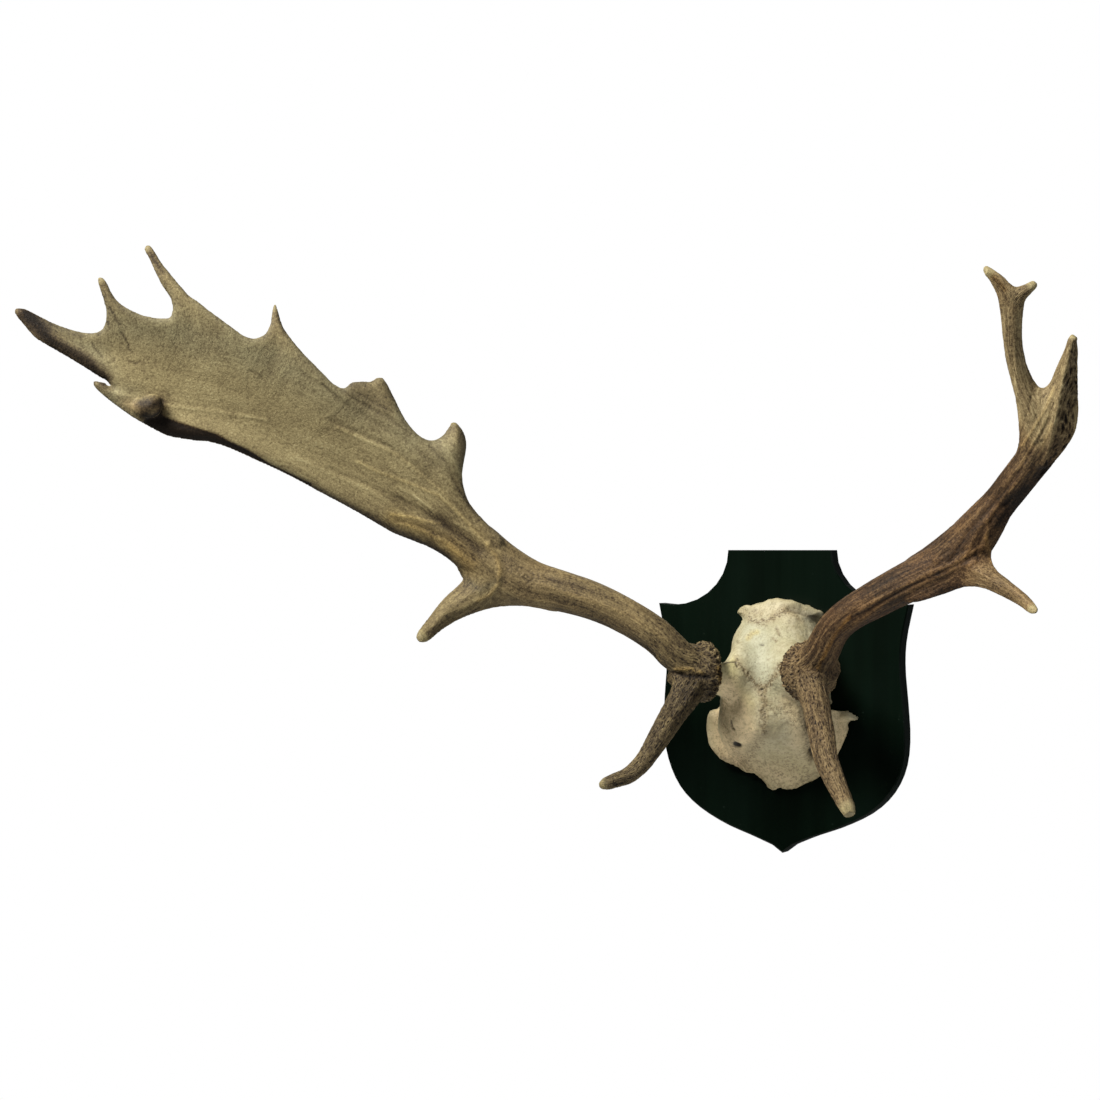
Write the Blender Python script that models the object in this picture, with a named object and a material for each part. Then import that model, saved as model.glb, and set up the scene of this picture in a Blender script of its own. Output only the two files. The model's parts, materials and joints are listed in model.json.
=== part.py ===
"""Fallow deer antlers on their cut skull cap, screwed to a shield-shaped plaque that hangs on a wall.

Metres, +Z up. The origin is on the plaque's back face, at the middle of its width and height.
Seen from the front, +X is to the right, and the antlers come forward along -Y. Left and right
in the names are as seen from the front. Points along the antlers and the skull are in millimetres.
"""

import math

import bmesh
import bpy
import numpy as np

MM = 0.001
GAP = 0.3                        # between pieces that touch, in mm
SEAT_GAP = 0.45                  # between a tine's hollowed root and the beam it sits on, in mm
OVERSHOOT = 2.0                  # how far a cutting tool reaches past the face that it starts from, in mm

# The plaque and what holds it up, in mm
PLAQUE_HEIGHT = 263.4
PLAQUE_THICKNESS = 18.0
PLAQUE_CHAMFER = 1.2
PLAQUE_TOP_REACH = {-1: 49.5, 1: 44.5}   # of its flat top edge to each side, as it was sawn
SHOULDER_FOOT = 100.0            # from the middle line to where each shoulder's hollow quarter oval ends
SHOULDER_DROP = 48.0
CORNER = (113.5, 85.0)
SIDE_POINTS = {-1: [(108.0, 55.0), (106.5, 30.0), (108.5, 0.0), (108.5, -32.0), (103.5, -56.0),
                    (93.0, -77.0), (76.0, -93.5), (52.0, -107.5), (27.0, -117.5), (9.0, -125.0)],
               1: [(107.2, 55.0), (106.0, 30.0), (108.5, 0.0), (110.3, -32.0), (106.7, -58.0),
                   (95.8, -79.5), (77.8, -96.0), (52.5, -108.5), (27.0, -117.5), (9.0, -125.0)]}
HANGER_LENGTH, HANGER_WIDTH, HANGER_THICKNESS = 52.0, 18.0, 1.6
HANGER_HEIGHT = 98.0             # of its middle above the origin
HANGER_SCREW_OFFSET = 19.0
KEYHOLE_RADIUS, KEYHOLE_SLOT, KEYHOLE_RISE = 4.75, 4.6, 9.0
HANGER_POCKET = (13.0, 26.0, 9.0)
SMALL_SCREW = dict(shank=1.7, head=3.5, sink=1.5, length=12.0)
SKULL_SCREW = dict(shank=2.1, head=4.2, sink=2.0, length=27.0)
SCREW_RIM = 0.3                  # the height of a screw head's upright edge
SCREW_POINT = 3.0                # the length of a screw's point
SCREW_TIP = 0.3                  # the radius that the point ends in
SKULL_SCREW_PLACES = {"upper": (1.5, 79.0), "lower": (1.5, -63.0)}

# The skull cap, in mm: its outline and the height of its midline above the plaque
SKULL_MIDDLE = 1.5
MIDLINE = [(88.5, 20.0), (86.0, 27.0), (78.0, 33.0), (66.0, 44.0), (54.0, 54.0), (38.0, 61.0),
           (13.0, 65.0), (-8.0, 64.0), (-24.0, 56.5), (-37.0, 44.0), (-49.0, 30.0), (-60.0, 18.5),
           (-69.0, 11.5), (-75.5, 6.5)]
CASE_HALF_WIDTH = [(88.5, 22.0), (86.0, 30.0), (78.0, 37.0), (70.0, 34.5), (54.0, 43.5), (40.0, 48.5),
                   (20.0, 51.0), (-6.0, 54.0), (-26.0, 55.0), (-40.0, 50.0), (-50.0, 42.0),
                   (-61.0, 29.0), (-75.5, 9.0)]
LEFT_RIM = [(88.5, 22.0), (78.0, 38.0), (70.0, 36.5), (54.0, 45.0), (30.0, 52.0), (6.0, 53.0),
            (-6.0, 58.0), (-11.0, 66.5), (-20.0, 68.5), (-36.0, 67.5), (-43.0, 63.5), (-50.5, 56.5),
            (-57.5, 46.0), (-64.0, 29.0), (-70.0, 19.5), (-75.5, 10.0)]
RIGHT_RIM = [(88.5, 21.0), (77.0, 36.5), (68.0, 35.0), (54.0, 41.5), (30.0, 49.0), (4.0, 52.0),
             (-4.0, 62.0), (-10.0, 70.0), (-15.0, 65.0), (-27.0, 58.5), (-35.0, 54.5), (-44.0, 49.0),
             (-57.0, 41.0), (-64.5, 32.5), (-70.0, 22.0), (-75.5, 10.0)]
HOOD_HEIGHT = [(88.5, 6.0), (20.0, 12.0), (-6.0, 20.0), (-20.0, 22.0), (-40.0, 18.0), (-60.0, 11.0),
               (-75.5, 5.5)]
SKULL_LEVELS = [88.5, 86.0, 82.0, 77.0, 71.0, 63.0, 54.0, 44.0, 33.0, 22.0, 11.0, 2.0, -4.0, -8.0, -11.0,
                -15.0, -21.0, -28.0, -35.0, -41.0, -47.0, -53.0, -58.0, -63.0, -67.5, -72.0, -75.5]
VAULT_POWER, BROW_POWER, BLEND_POWER = 2.6, 6.0, 4.0   # how square the vault, the brows and their join are
BONE_WALL = 5.5
HOLLOW_LEVELS = np.linspace(66.0, -50.0, 12)
BROW_FRONT = -90.0               # a depth in front of the brows, where the holes through them start
BROW_HOLES = [(-32.0, -36.5, 1.9), (-33.5, -16.0, 1.1), (37.0, -18.0, 1.3), (31.5, -45.0, 1.4)]

# The pedicles and the coronets: the place of each ring's middle and the way its beam leaves it
CORONET = {-1: (-45.0, -93.0, 28.0), 1: (46.0, -93.0, 29.0)}
PEDICLE_WAY = (0.62, -0.78, 0.03)
PEDICLE_PROFILE = [(-44.0, 31.0), (-30.0, 26.0), (-18.0, 21.0), (-9.0, 18.5), (-2.8, 18.5)]
CORONET_RADIUS = 26.5
CORONET_PROFILE = [(-2.4, 20.0), (-0.5, 25.5), (3.0, CORONET_RADIUS), (6.5, 24.5), (11.0, 21.5)]
CORONET_KNOBS = 0.055            # how far the ring's knobs stand in and out, as a share of its radius
CORONET_CHANCE = 0.03            # and how far chance moves them
BEAM_RIDGES = 5
BEAM_RIDGE_HEIGHT = 0.035        # as a share of the beam's radius
BEAM_TWIST = 2.5                 # how far the ridges wind round a beam, in radians

# Each row: x, y, z, half width, half thickness, in mm
LEFT_BEAM = [(-62, -113, 41, 14.5, 16.0), (-80, -124, 60, 15.0, 15.0), (-106, -133, 77, 15.3, 15.0),
             (-132, -140, 89, 16.3, 15.5), (-158, -146, 97, 17.6, 16.0), (-184, -152, 104, 20.0, 16.0),
             (-209, -160, 118, 21.5, 14.5)]
LEFT_BROW = [(-49, -106, 32, 7.0, 7.0), (-52, -115, 15, 13.2, 13.0), (-60, -134, -7, 11.0, 11.0),
             (-64, -150, -21, 9.9, 9.9), (-68, -164, -34, 8.8, 8.8), (-73, -176, -46, 7.8, 7.8),
             (-82, -186, -56, 6.6, 6.6), (-91, -194, -60, 5.4, 5.4), (-100, -199, -63, 2.4, 2.4)]
LEFT_TREZ = [(-207, -158, 120, 6.0, 5.0), (-219, -161, 106, 17.5, 12.0), (-230, -168, 91, 13.3, 11.0),
             (-239, -177, 83, 10.6, 9.5), (-246, -187, 77, 7.8, 7.5), (-251, -197, 69, 5.6, 5.6),
             (-255, -205, 62, 4.5, 4.5), (-260, -212, 57, 2.2, 2.2)]
RIGHT_BEAM = [(64, -114, 45, 15.5, 16.0), (78, -127, 65, 14.0, 14.5), (94, -134, 78, 14.2, 15.0),
              (118, -140, 91, 15.6, 15.5), (140, -144, 102, 16.6, 15.5), (162, -147, 112, 18.2, 15.5),
              (182, -150, 122, 20.5, 15.5), (201, -154, 138, 20.0, 15.0), (213, -158, 152, 17.0, 14.0)]
RIGHT_BROW = [(55, -107, 34, 7.0, 7.0), (57, -117, 14, 12.6, 12.6), (64, -130, 3, 11.6, 11.6),
              (70, -142, -9, 11.2, 11.2), (76, -153, -21, 10.8, 10.8), (81, -163, -33, 10.4, 10.4),
              (87, -172, -44, 9.8, 9.8), (95, -180, -56, 8.8, 8.8), (103, -187, -68, 7.4, 7.4),
              (109, -192, -77, 6.2, 6.2), (112, -195, -84, 3.4, 3.4)]
RIGHT_TREZ = [(194, -151, 126, 6.0, 5.0), (204, -152, 117, 13.0, 11.5), (215, -158, 111, 10.8, 10.0),
              (226, -165, 107, 7.8, 7.8), (236, -172, 102, 6.5, 6.5), (246, -179, 97, 5.5, 5.5),
              (255, -186, 91, 4.5, 4.5), (261, -190, 86, 3.6, 3.6), (265, -194, 82, 1.9, 1.9)]
RIGHT_TOP = [(266, -204, 243, 11.5, 9.0), (260, -208, 256, 10.5, 9.0), (257, -212, 268, 9.0, 8.5),
             (255, -218, 282, 8.0, 8.0), (254, -223, 293, 7.8, 7.8), (255, -228, 305, 7.9, 7.5),
             (255, -232, 316, 8.6, 7.2), (256, -235, 325, 9.2, 6.5), (256, -238, 333, 5.5, 4.5)]
RIGHT_PRONGS = [[(257, -236, 325, 6.5, 5.0), (250, -239, 336, 6.2, 4.6), (243, -242, 344, 4.6, 3.8),
                 (236, -246, 351, 1.9, 1.9)],
                [(256, -236, 327, 6.0, 5.0), (264, -238, 333, 4.8, 4.2), (270, -238, 337, 3.4, 3.4),
                 (275, -238, 339, 1.7, 1.7)]]

# The palm and the crown, as pairs of points on their two edges, and the half thickness. The palm's
# upper edge comes first, and the crown's right one
PALM = [(-223, -172, 153, -247, -172, 123, 12.0), (-231, -182, 181, -267, -182, 136, 10.0),
        (-243, -196, 209, -298, -196, 150, 8.5), (-258, -208, 228, -326, -208, 168, 8.0),
        (-287, -222, 250, -352, -222, 184, 7.5), (-317, -236, 268, -383, -236, 201, 7.0),
        (-350, -252, 290, -413, -252, 218, 6.8), (-383, -268, 310, -438, -268, 224, 6.5),
        (-421, -283, 319, -459, -283, 228, 6.5), (-459, -296, 327, -480, -296, 241, 6.2),
        (-486, -307, 321, -495, -307, 254, 6.2), (-508, -318, 313, -503, -318, 272, 6.5),
        (-516, -326, 313, -525, -326, 290, 7.0), (-532, -333, 317, -545, -333, 299, 6.8),
        (-550, -337, 325, -559, -337, 312, 6.2), (-562, -338, 331, -568, -338, 321, 5.4),
        (-572, -338, 335, -575, -338, 331, 2.4)]
PALM_TROUGH = 7.0                # how far the palm's middle lies behind its edges, in mm
PALM_POINTS = [
    [(-262, -192, 178, 26.0, 5.0), (-256, -188, 190, 23.0, 6.0), (-249, -183, 207, 17.0, 6.5),
     (-245, -181, 221, 12.6, 5.8), (-241, -180, 231, 6.4, 4.8), (-241, -180, 237, 4.0, 3.8),
     (-241, -180, 241, 1.9, 1.9)],
    [(-298, -218, 236, 24.0, 5.0), (-303, -216, 255, 21.5, 6.0), (-305, -216, 266, 18.0, 5.0),
     (-304, -216, 272, 13.5, 3.6)],
    [(-296, -215, 262, 8.0, 5.0), (-294, -214, 270, 5.0, 4.5), (-294, -213, 278, 3.0, 3.0)],
    [(-364, -254, 276, 28.0, 4.0), (-370, -254, 295, 22.5, 5.8), (-372, -255, 307, 12.7, 5.2),
     (-373, -255, 318, 6.1, 4.6), (-373, -255, 329, 3.2, 3.2), (-373, -256, 339, 1.6, 1.6)],
    [(-426, -284, 303, 32.0, 4.0), (-431, -288, 323, 21.5, 5.6), (-437, -290, 335, 13.0, 5.4),
     (-446, -292, 347, 7.6, 5.0), (-455, -294, 358, 5.4, 4.4), (-463, -297, 371, 4.1, 3.8),
     (-470, -300, 388, 1.7, 1.7)],
    [(-474, -305, 306, 26.0, 4.0), (-488, -311, 327, 14.0, 5.4), (-495, -315, 338, 6.7, 4.8),
     (-500, -317, 347, 3.9, 3.6), (-505, -320, 360, 1.6, 1.6)],
    [(-470, -302, 252, 15.0, 6.0), (-484, -308, 256, 8.6, 5.6), (-494, -314, 261, 6.6, 4.6),
     (-502, -318, 267, 3.8, 3.4), (-510, -321, 274, 1.6, 1.6)],
    [(-474, -296, 250, 12.0, 6.0), (-466, -304, 246, 9.5, 7.0), (-460, -314, 250, 8.5, 7.5),
     (-456, -322, 258, 6.5, 6.0), (-455, -325, 264, 3.0, 3.0)],
]
CROWN = [(249, -169, 172, 226, -169, 190, 13.0), (259, -175, 184, 237, -175, 202, 12.8),
         (269, -182, 192, 245, -182, 210, 12.8), (282, -189, 206, 250, -189, 219, 12.8),
         (297, -194, 220, 252, -194, 229, 12.5), (301, -199, 238, 253, -199, 241, 12.0),
         (303, -204, 253, 258, -204, 254, 11.0), (303, -207, 262, 273, -207, 262, 9.5),
         (303, -210, 270, 282, -210, 270, 8.5), (303, -213, 278, 289, -213, 278, 7.0),
         (303, -215, 286, 293, -215, 286, 5.5), (303, -217, 293, 297, -217, 293, 3.8),
         (302, -219, 299, 299, -219, 300, 1.8)]
CROWN_KEEL = 0.45                # how far the crown's front ridge stands up, as a share of its thickness

PALM_FACING = (0.36, -0.93, 0.10)
BEAM_FACING = (0.0, -1.0, 0.15)
BROW_FACING = (1.0, -0.2, 0.2)

BEAM_SIDES = 14
TINE_SIDES = 10
POINT_SIDES = 8
SCREW_SIDES = 10
SKULL_SIDES, HOLLOW_SIDES = 22, 14
LEFT_RINGS, RIGHT_RINGS = (18, 28), (20, 22)   # along the round beam, and along the flattened end
LEFT_CUT, RIGHT_CUT = (len(CORONET_PROFILE) + rings[0] for rings in (LEFT_RINGS, RIGHT_RINGS))

SHARP_ANGLE = 45.0                # in degrees

# Colours as linear red, green, blue, with roughness and metallic
FINISHES = {
    "plaque": ((0.006, 0.014, 0.010), 0.35, 0.0),
    "steel": ((0.55, 0.56, 0.58), 0.4, 1.0),
    "bone": ((0.60, 0.54, 0.41), 0.6, 0.0),
    "antler": ((0.16, 0.11, 0.065), 0.65, 0.0),
}


for thing in list(bpy.data.objects):
    bpy.data.objects.remove(thing, do_unlink=True)


def finish(name, kind):
    """A Principled material of the finish that a kind of piece has."""
    colour, roughness, metallic = FINISHES[kind]
    material = bpy.data.materials.new(name)
    material.use_nodes = True
    shader = material.node_tree.nodes["Principled BSDF"]
    shader.inputs["Base Color"].default_value = (*colour, 1.0)
    shader.inputs["Roughness"].default_value = roughness
    shader.inputs["Metallic"].default_value = metallic
    return material


def placed(name, points, faces, kind=None):
    """A mesh object from points in mm, its faces turned outwards. With no kind it is a hidden tool."""
    mesh = bpy.data.meshes.new(name)
    mesh.from_pydata([tuple(point) for point in np.asarray(points, float) * MM], [], faces)
    sheet = bmesh.new()
    sheet.from_mesh(mesh)
    bmesh.ops.recalc_face_normals(sheet, faces=sheet.faces)
    sheet.to_mesh(mesh)
    sheet.free()
    thing = bpy.data.objects.new(name, mesh)
    bpy.context.scene.collection.objects.link(thing)
    if kind:
        mesh.materials.append(finish(name, kind))
    else:
        thing.hide_render = True
        thing.display_type = "WIRE"
    return thing


def combine(thing, tool, operation):
    """Applies a Boolean of the tool to the thing, and removes the tool."""
    modifier = thing.modifiers.new(operation.lower(), "BOOLEAN")
    modifier.operation = operation
    modifier.object = tool
    modifier.solver = "EXACT"
    bpy.context.view_layer.update()
    result = bpy.data.meshes.new_from_object(thing.evaluated_get(bpy.context.evaluated_depsgraph_get()))
    thing.modifiers.clear()
    old = thing.data
    thing.data = result
    result.name = thing.name
    bpy.data.meshes.remove(old)
    bpy.data.objects.remove(tool, do_unlink=True)


def shade(thing):
    """Smooth shading, with sharp edges where two faces meet at more than an angle."""
    thing.data.shade_smooth()
    thing.data.set_sharp_from_angle(angle=math.radians(SHARP_ANGLE))


def curve(points, count):
    """A Catmull-Rom curve through the points, read at evenly spaced steps along its spans."""
    points = np.asarray(points, float)
    ends = np.vstack([2 * points[0] - points[1], points, 2 * points[-1] - points[-2]])
    steps = np.linspace(0, len(points) - 1, count)
    span = np.minimum(steps.astype(int), len(points) - 2)
    part = (steps - span)[:, None]
    a, b, c, d = (ends[span + k] for k in range(4))
    return 0.5 * (2 * b + (c - a) * part + (2 * a - 5 * b + 4 * c - d) * part**2
                  + (3 * b - a - 3 * c + d) * part**3)


def unit(vectors):
    """The vectors, each at length one."""
    vectors = np.asarray(vectors, float)
    return vectors / np.linalg.norm(vectors, axis=-1, keepdims=True)


def tube(rings):
    """The points and faces of a closed tube through rings of equally many points. Its sides are
    triangles, because a piece and the tool that clears room for it have to bend at the same lines."""
    count, sides = rings.shape[:2]
    faces = []
    for i in range(count - 1):
        for k in range(sides):
            a, b = i * sides + k, i * sides + (k + 1) % sides
            faces += [(a, b, b + sides), (a, b + sides, a + sides)]
    faces.append(tuple(range(sides - 1, -1, -1)))
    faces.append(tuple(range((count - 1) * sides, count * sides)))
    return rings.reshape(-1, 3), faces


def round_rings(rows, facing, count, sides, grow=0.0):
    """Oval rings along a curve through rows of x, y, z, half width and half thickness."""
    rows = curve(rows, count)
    middle = rows[:, :3]
    along = unit(np.gradient(middle, axis=0))
    across = unit(np.cross(along, facing))
    out = np.cross(across, along)
    turn = 2 * np.pi * np.arange(sides) / sides
    wide = (rows[:, 3] + grow)[:, None, None] * across[:, None] * np.cos(turn)[None, :, None]
    thick = (rows[:, 4] + grow)[:, None, None] * out[:, None] * np.sin(turn)[None, :, None]
    return middle[:, None] + wide + thick


def flat_rings(rows, facing, count, sides, trough=0.0, keel=0.0, grow=0.0):
    """Flattened rings between two edges. Each row is an upper and a lower edge point and a half
    thickness. A trough sets the middle back, and a keel raises a ridge along the front."""
    rows = curve(rows, count)
    upper, lower, thick = rows[:, :3], rows[:, 3:6], rows[:, 6]
    middle, half = (upper + lower) / 2, (upper - lower) / 2
    width = np.linalg.norm(half, axis=1)
    out = unit(np.cross(unit(half), unit(np.gradient(middle, axis=0))))
    out *= np.where(out @ np.asarray(facing, float) > 0, 1.0, -1.0)[:, None]
    turn = 2 * np.pi * np.arange(sides) / sides
    side, front = np.cos(turn), np.sin(turn)
    share = np.minimum(1, width / width.max())
    bulge = np.sign(front) * np.abs(front) ** 0.8 * (1 + keel * np.maximum(front, 0) ** 2)
    lift = (thick + grow)[:, None] * bulge + trough * share[:, None] * (side**2 - 1)
    reach = half * (1 + grow / width)[:, None]
    return middle[:, None] + reach[:, None] * side[None, :, None] + out[:, None] * lift[..., None]


def with_ridges(rings):
    """A beam's rings with shallow ridges along them, that wind slowly round."""
    middle = rings.mean(axis=1, keepdims=True)
    turn = 2 * np.pi * np.arange(BEAM_SIDES) / BEAM_SIDES
    twist = np.linspace(0, BEAM_TWIST, len(rings))
    wave = 1 + BEAM_RIDGE_HEIGHT * np.cos(BEAM_RIDGES * turn[None] + twist[:, None])
    return middle + (rings - middle) * wave[..., None]


def pedicle_way(side):
    """The direction in which the pedicle of one side leaves the skull."""
    return unit(np.array(PEDICLE_WAY) * (side, 1, 1))


def coronet_rings(side, grow=0.0):
    """The knobbly ring at an antler's foot: rings across the pedicle's line, every other point out.
    To grow it also moves its first ring back, so that no skin of a tine's root is left under it."""
    way = pedicle_way(side)
    across = unit(np.cross(way, BEAM_FACING))
    out = np.cross(across, way)
    turn = 2 * np.pi * np.arange(BEAM_SIDES) / BEAM_SIDES
    chance = np.random.default_rng(11 + side)
    rings = []
    for height, radius in CORONET_PROFILE:
        if not rings:
            height -= grow
        share = (radius / CORONET_RADIUS) ** 3
        swell = 1 + CORONET_KNOBS * share * np.cos(turn * BEAM_SIDES / 2)
        swell += CORONET_CHANCE * share * chance.uniform(-1, 1, BEAM_SIDES)
        reach = (radius * swell + grow)[:, None]
        spread = across * np.cos(turn)[:, None] + out * np.sin(turn)[:, None]
        rings.append(np.array(CORONET[side]) + way * height + spread * reach)
    return np.array(rings)


def antler_rings(side, shaft_rows, flat_rows, counts, trough, keel, grow=0.0):
    """An antler's whole main stem: its coronet, its ridged shaft and its flattened end."""
    shaft = round_rings(shaft_rows, BEAM_FACING, counts[0], BEAM_SIDES, grow)
    shaft = with_ridges(shaft)
    first, last = shaft[-1, 0], shaft[-1, BEAM_SIDES // 2]
    slim = unit(first - last) * grow
    rows = [(*(first - slim), *(last + slim), shaft_rows[-1][4]), *flat_rows]
    flat = flat_rings(rows, PALM_FACING, counts[1], BEAM_SIDES, trough, keel, grow)
    return np.concatenate([coronet_rings(side, grow), shaft, flat[1:]])


def parted(rings, cut):
    """The rings before and after the one where the stem is parted, with the gap between them."""
    ring = rings[cut]
    quarter = BEAM_SIDES // 4
    normal = unit(np.cross(ring[0] - ring[BEAM_SIDES // 2], ring[quarter] - ring[-quarter]))
    normal = normal * np.sign(normal @ (rings[cut + 1].mean(0) - ring.mean(0)))
    return rings[:cut + 1], np.concatenate([[ring + normal * GAP], rings[cut + 1:]])


def turned(name, place, profile, sides, kind=None):
    """A closed round solid along Y through x, z, from a profile of y and radius."""
    turn = 2 * np.pi * np.arange(sides) / sides
    circle = np.stack([np.cos(turn), 0 * turn, np.sin(turn)], 1)
    rings = [circle * radius + (place[0], y, place[1]) for y, radius in profile]
    return placed(name, *tube(np.array(rings)), kind)


# The plaque: a flat board sawn to a shield, with a narrow chamfer round its front
def shield(inset):
    """The shield's outline, x and z, drawn in by an inset."""
    angle = np.linspace(0, math.pi / 2, 8)
    halves = []
    for side, top in PLAQUE_TOP_REACH.items():
        low = curve([CORNER, *SIDE_POINTS[side]], 28)
        hollow = np.stack([SHOULDER_FOOT - (SHOULDER_FOOT - top) * np.cos(angle),
                           PLAQUE_HEIGHT / 2 - SHOULDER_DROP * np.sin(angle)], 1)
        halves.append(np.concatenate([hollow, low]) * (side, 1))
    whole = np.concatenate([halves[1], [(0.0, -PLAQUE_HEIGHT / 2)], halves[0][::-1]])
    before, after = np.roll(whole, 1, axis=0), np.roll(whole, -1, axis=0)
    normal = unit(unit(whole - before) + unit(after - whole))[:, ::-1] * (-1, 1)
    corner = (unit(whole - before) * unit(after - whole)).sum(1)
    reach = inset / np.sqrt(np.maximum((1 + corner) / 2, 0.2))
    return whole - normal * reach[:, None]


def shield_ring(inset, y):
    """The inset outline as a ring of points at a depth."""
    flat = shield(inset)
    return np.stack([flat[:, 0], np.full(len(flat), y), flat[:, 1]], 1)


plaque = placed("plaque", *tube(np.array([
    shield_ring(0.0, 0.0),
    shield_ring(0.0, PLAQUE_CHAMFER - PLAQUE_THICKNESS),
    shield_ring(PLAQUE_CHAMFER, -PLAQUE_THICKNESS),
])), "plaque")


def slot_outline(length, width, steps=8):
    """A flat bar's outline with round ends, x and z about its middle."""
    angle = np.linspace(-math.pi / 2, math.pi / 2, steps)
    end = np.stack([np.cos(angle), np.sin(angle)], 1) * width / 2 + ((length - width) / 2, 0)
    return np.concatenate([end, -end])


def slab(name, outline, height, y_from, y_to, kind=None):
    """A flat piece of an outline, its middle at a height, between two depths."""
    rings = [np.stack([outline[:, 0], np.full(len(outline), y), outline[:, 1] + height], 1)
             for y in (y_from, y_to)]
    return placed(name, *tube(np.array(rings)), kind)


# The keyhole plate, let into the plaque's back, with the deeper pocket for the head of a wall screw
recess = slot_outline(HANGER_LENGTH + 2 * GAP, HANGER_WIDTH + 2 * GAP)
combine(plaque, slab("recess", recess, HANGER_HEIGHT, OVERSHOOT, -HANGER_THICKNESS - 2 * GAP),
        "DIFFERENCE")
pocket_width, pocket_height, pocket_depth = HANGER_POCKET
pocket = slot_outline(pocket_height, pocket_width)[:, ::-1]
combine(plaque, slab("pocket", pocket, HANGER_HEIGHT, OVERSHOOT, -pocket_depth), "DIFFERENCE")
hanger = slab("hanger_plate", slot_outline(HANGER_LENGTH, HANGER_WIDTH), HANGER_HEIGHT,
              -GAP, -GAP - HANGER_THICKNESS, "steel")
eye = (0.0, HANGER_HEIGHT - KEYHOLE_RISE / 2)
behind = -GAP - HANGER_THICKNESS - OVERSHOOT
combine(hanger, turned("eye", eye, [(OVERSHOOT, KEYHOLE_RADIUS), (behind, KEYHOLE_RADIUS)], 18), "DIFFERENCE")
slot = slot_outline(KEYHOLE_RISE + KEYHOLE_SLOT, KEYHOLE_SLOT)[:, ::-1]
combine(hanger, slab("slot", slot, HANGER_HEIGHT, OVERSHOOT, behind), "DIFFERENCE")


def screw(name, place, start, shank, head, sink, length):
    """A countersunk wood screw that points forward from the plaque's back."""
    profile = [(0.0, head - SCREW_TIP), (SCREW_RIM, head), (SCREW_RIM + sink, shank),
               (length - SCREW_POINT, shank), (length, SCREW_TIP)]
    shade(turned(name, place, [(start - depth, radius) for depth, radius in profile], SCREW_SIDES, "steel"))


def screw_hole(target, place, start, shank, head, sink, length):
    """Clears a screw's shape from the piece that it goes through."""
    profile = [(-OVERSHOOT, head + GAP), (SCREW_RIM + GAP, head + GAP), (SCREW_RIM + sink + GAP, shank + GAP),
               (length + GAP, shank + GAP)]
    hole = turned("hole", place, [(start - depth, radius) for depth, radius in profile], SCREW_SIDES)
    combine(target, hole, "DIFFERENCE")


for word, side in (("left", -1), ("right", 1)):
    place = (side * HANGER_SCREW_OFFSET, HANGER_HEIGHT)
    screw_hole(hanger, place, -GAP, **SMALL_SCREW)
    screw_hole(plaque, place, -GAP, **SMALL_SCREW)
    screw("hanger_screw_" + word, place, -GAP, **SMALL_SCREW)


# The skull cap: the frontal bones and the top of the braincase, sawn flat where they meet the plaque
def read(rows, z):
    """The value at heights z of a smooth curve through rows of z and value."""
    fine = curve(rows, 12 * len(rows))
    order = np.argsort(fine[:, 0])
    return np.interp(z, fine[order, 0], fine[order, 1])


def skull_rings(heights, sides, wall):
    """Cross sections of the skull, seen from above: a vaulted case that melts into low flaring brows."""
    turn = np.linspace(-math.pi / 2, math.pi / 2, sides)
    side = np.sin(turn)
    rings = []
    for z in heights:
        rim = np.where(side < 0, read(LEFT_RIM, z), read(RIGHT_RIM, z)) - wall
        case = read(CASE_HALF_WIDTH, z) - wall
        top, hood = read(MIDLINE, z) - wall, read(HOOD_HEIGHT, z) - wall
        reach = rim * side
        vault = top * np.sqrt(np.maximum(1 - np.abs(reach / case) ** VAULT_POWER, 0))
        brow = max(hood, 1.0) * np.sqrt(np.maximum(1 - np.abs(side) ** BROW_POWER, 0))
        height = (vault**BLEND_POWER + brow**BLEND_POWER) ** (1 / BLEND_POWER)
        rings.append(np.stack([SKULL_MIDDLE + reach, -height, np.full(sides, z)], 1))
    return np.array(rings)


def skull_solid(name, heights, sides, wall, back, kind=None):
    """A closed solid of the skull's outside, or of its hollow, down to a flat back."""
    front = skull_rings(heights, sides, wall)
    front[..., 1] -= PLAQUE_THICKNESS + GAP
    front[..., 1] = np.minimum(front[..., 1], back - 0.5)
    foot = front[:, [-1, 0]].copy()
    foot[..., 1] = back
    return placed(name, *tube(np.concatenate([front, foot], axis=1)), kind)


skull_back = -PLAQUE_THICKNESS - GAP
skull_cap = skull_solid("skull_cap", SKULL_LEVELS, SKULL_SIDES, 0.0, skull_back, "bone")
for side in (-1, 1):
    stem = [(*(np.array(CORONET[side]) + pedicle_way(side) * height), radius, radius)
            for height, radius in PEDICLE_PROFILE]
    stem = placed("pedicle", *tube(round_rings(stem, BEAM_FACING, 8, BEAM_SIDES)))
    combine(skull_cap, stem, "UNION")
hollow = skull_solid("hollow", HOLLOW_LEVELS, HOLLOW_SIDES, BONE_WALL, skull_back + OVERSHOOT)
combine(skull_cap, hollow, "DIFFERENCE")
for x, z, radius in BROW_HOLES:
    foramen = turned("foramen", (x, z), [(BROW_FRONT, radius), (skull_back - BONE_WALL, radius)], POINT_SIDES)
    combine(skull_cap, foramen, "DIFFERENCE")
for word, place in SKULL_SCREW_PLACES.items():
    screw_hole(plaque, place, -GAP, **SKULL_SCREW)
    screw_hole(skull_cap, place, -GAP, **SKULL_SCREW)
    screw("skull_screw_" + word, place, -GAP, **SKULL_SCREW)
for thing in (plaque, hanger, skull_cap):
    shade(thing)


# The antlers: ridged beams with tines that leave them at forks, a palm on the left, a crown on the right
def tine(name, rows, facing, count, beam):
    """A tapering tine, hollowed at its root so that it sits on the beam it grows from."""
    piece = placed(name, *tube(round_rings(rows, facing, count, TINE_SIDES)), "antler")
    combine(piece, placed("seat", *tube(beam)), "DIFFERENCE")
    shade(piece)
    return piece


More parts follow.
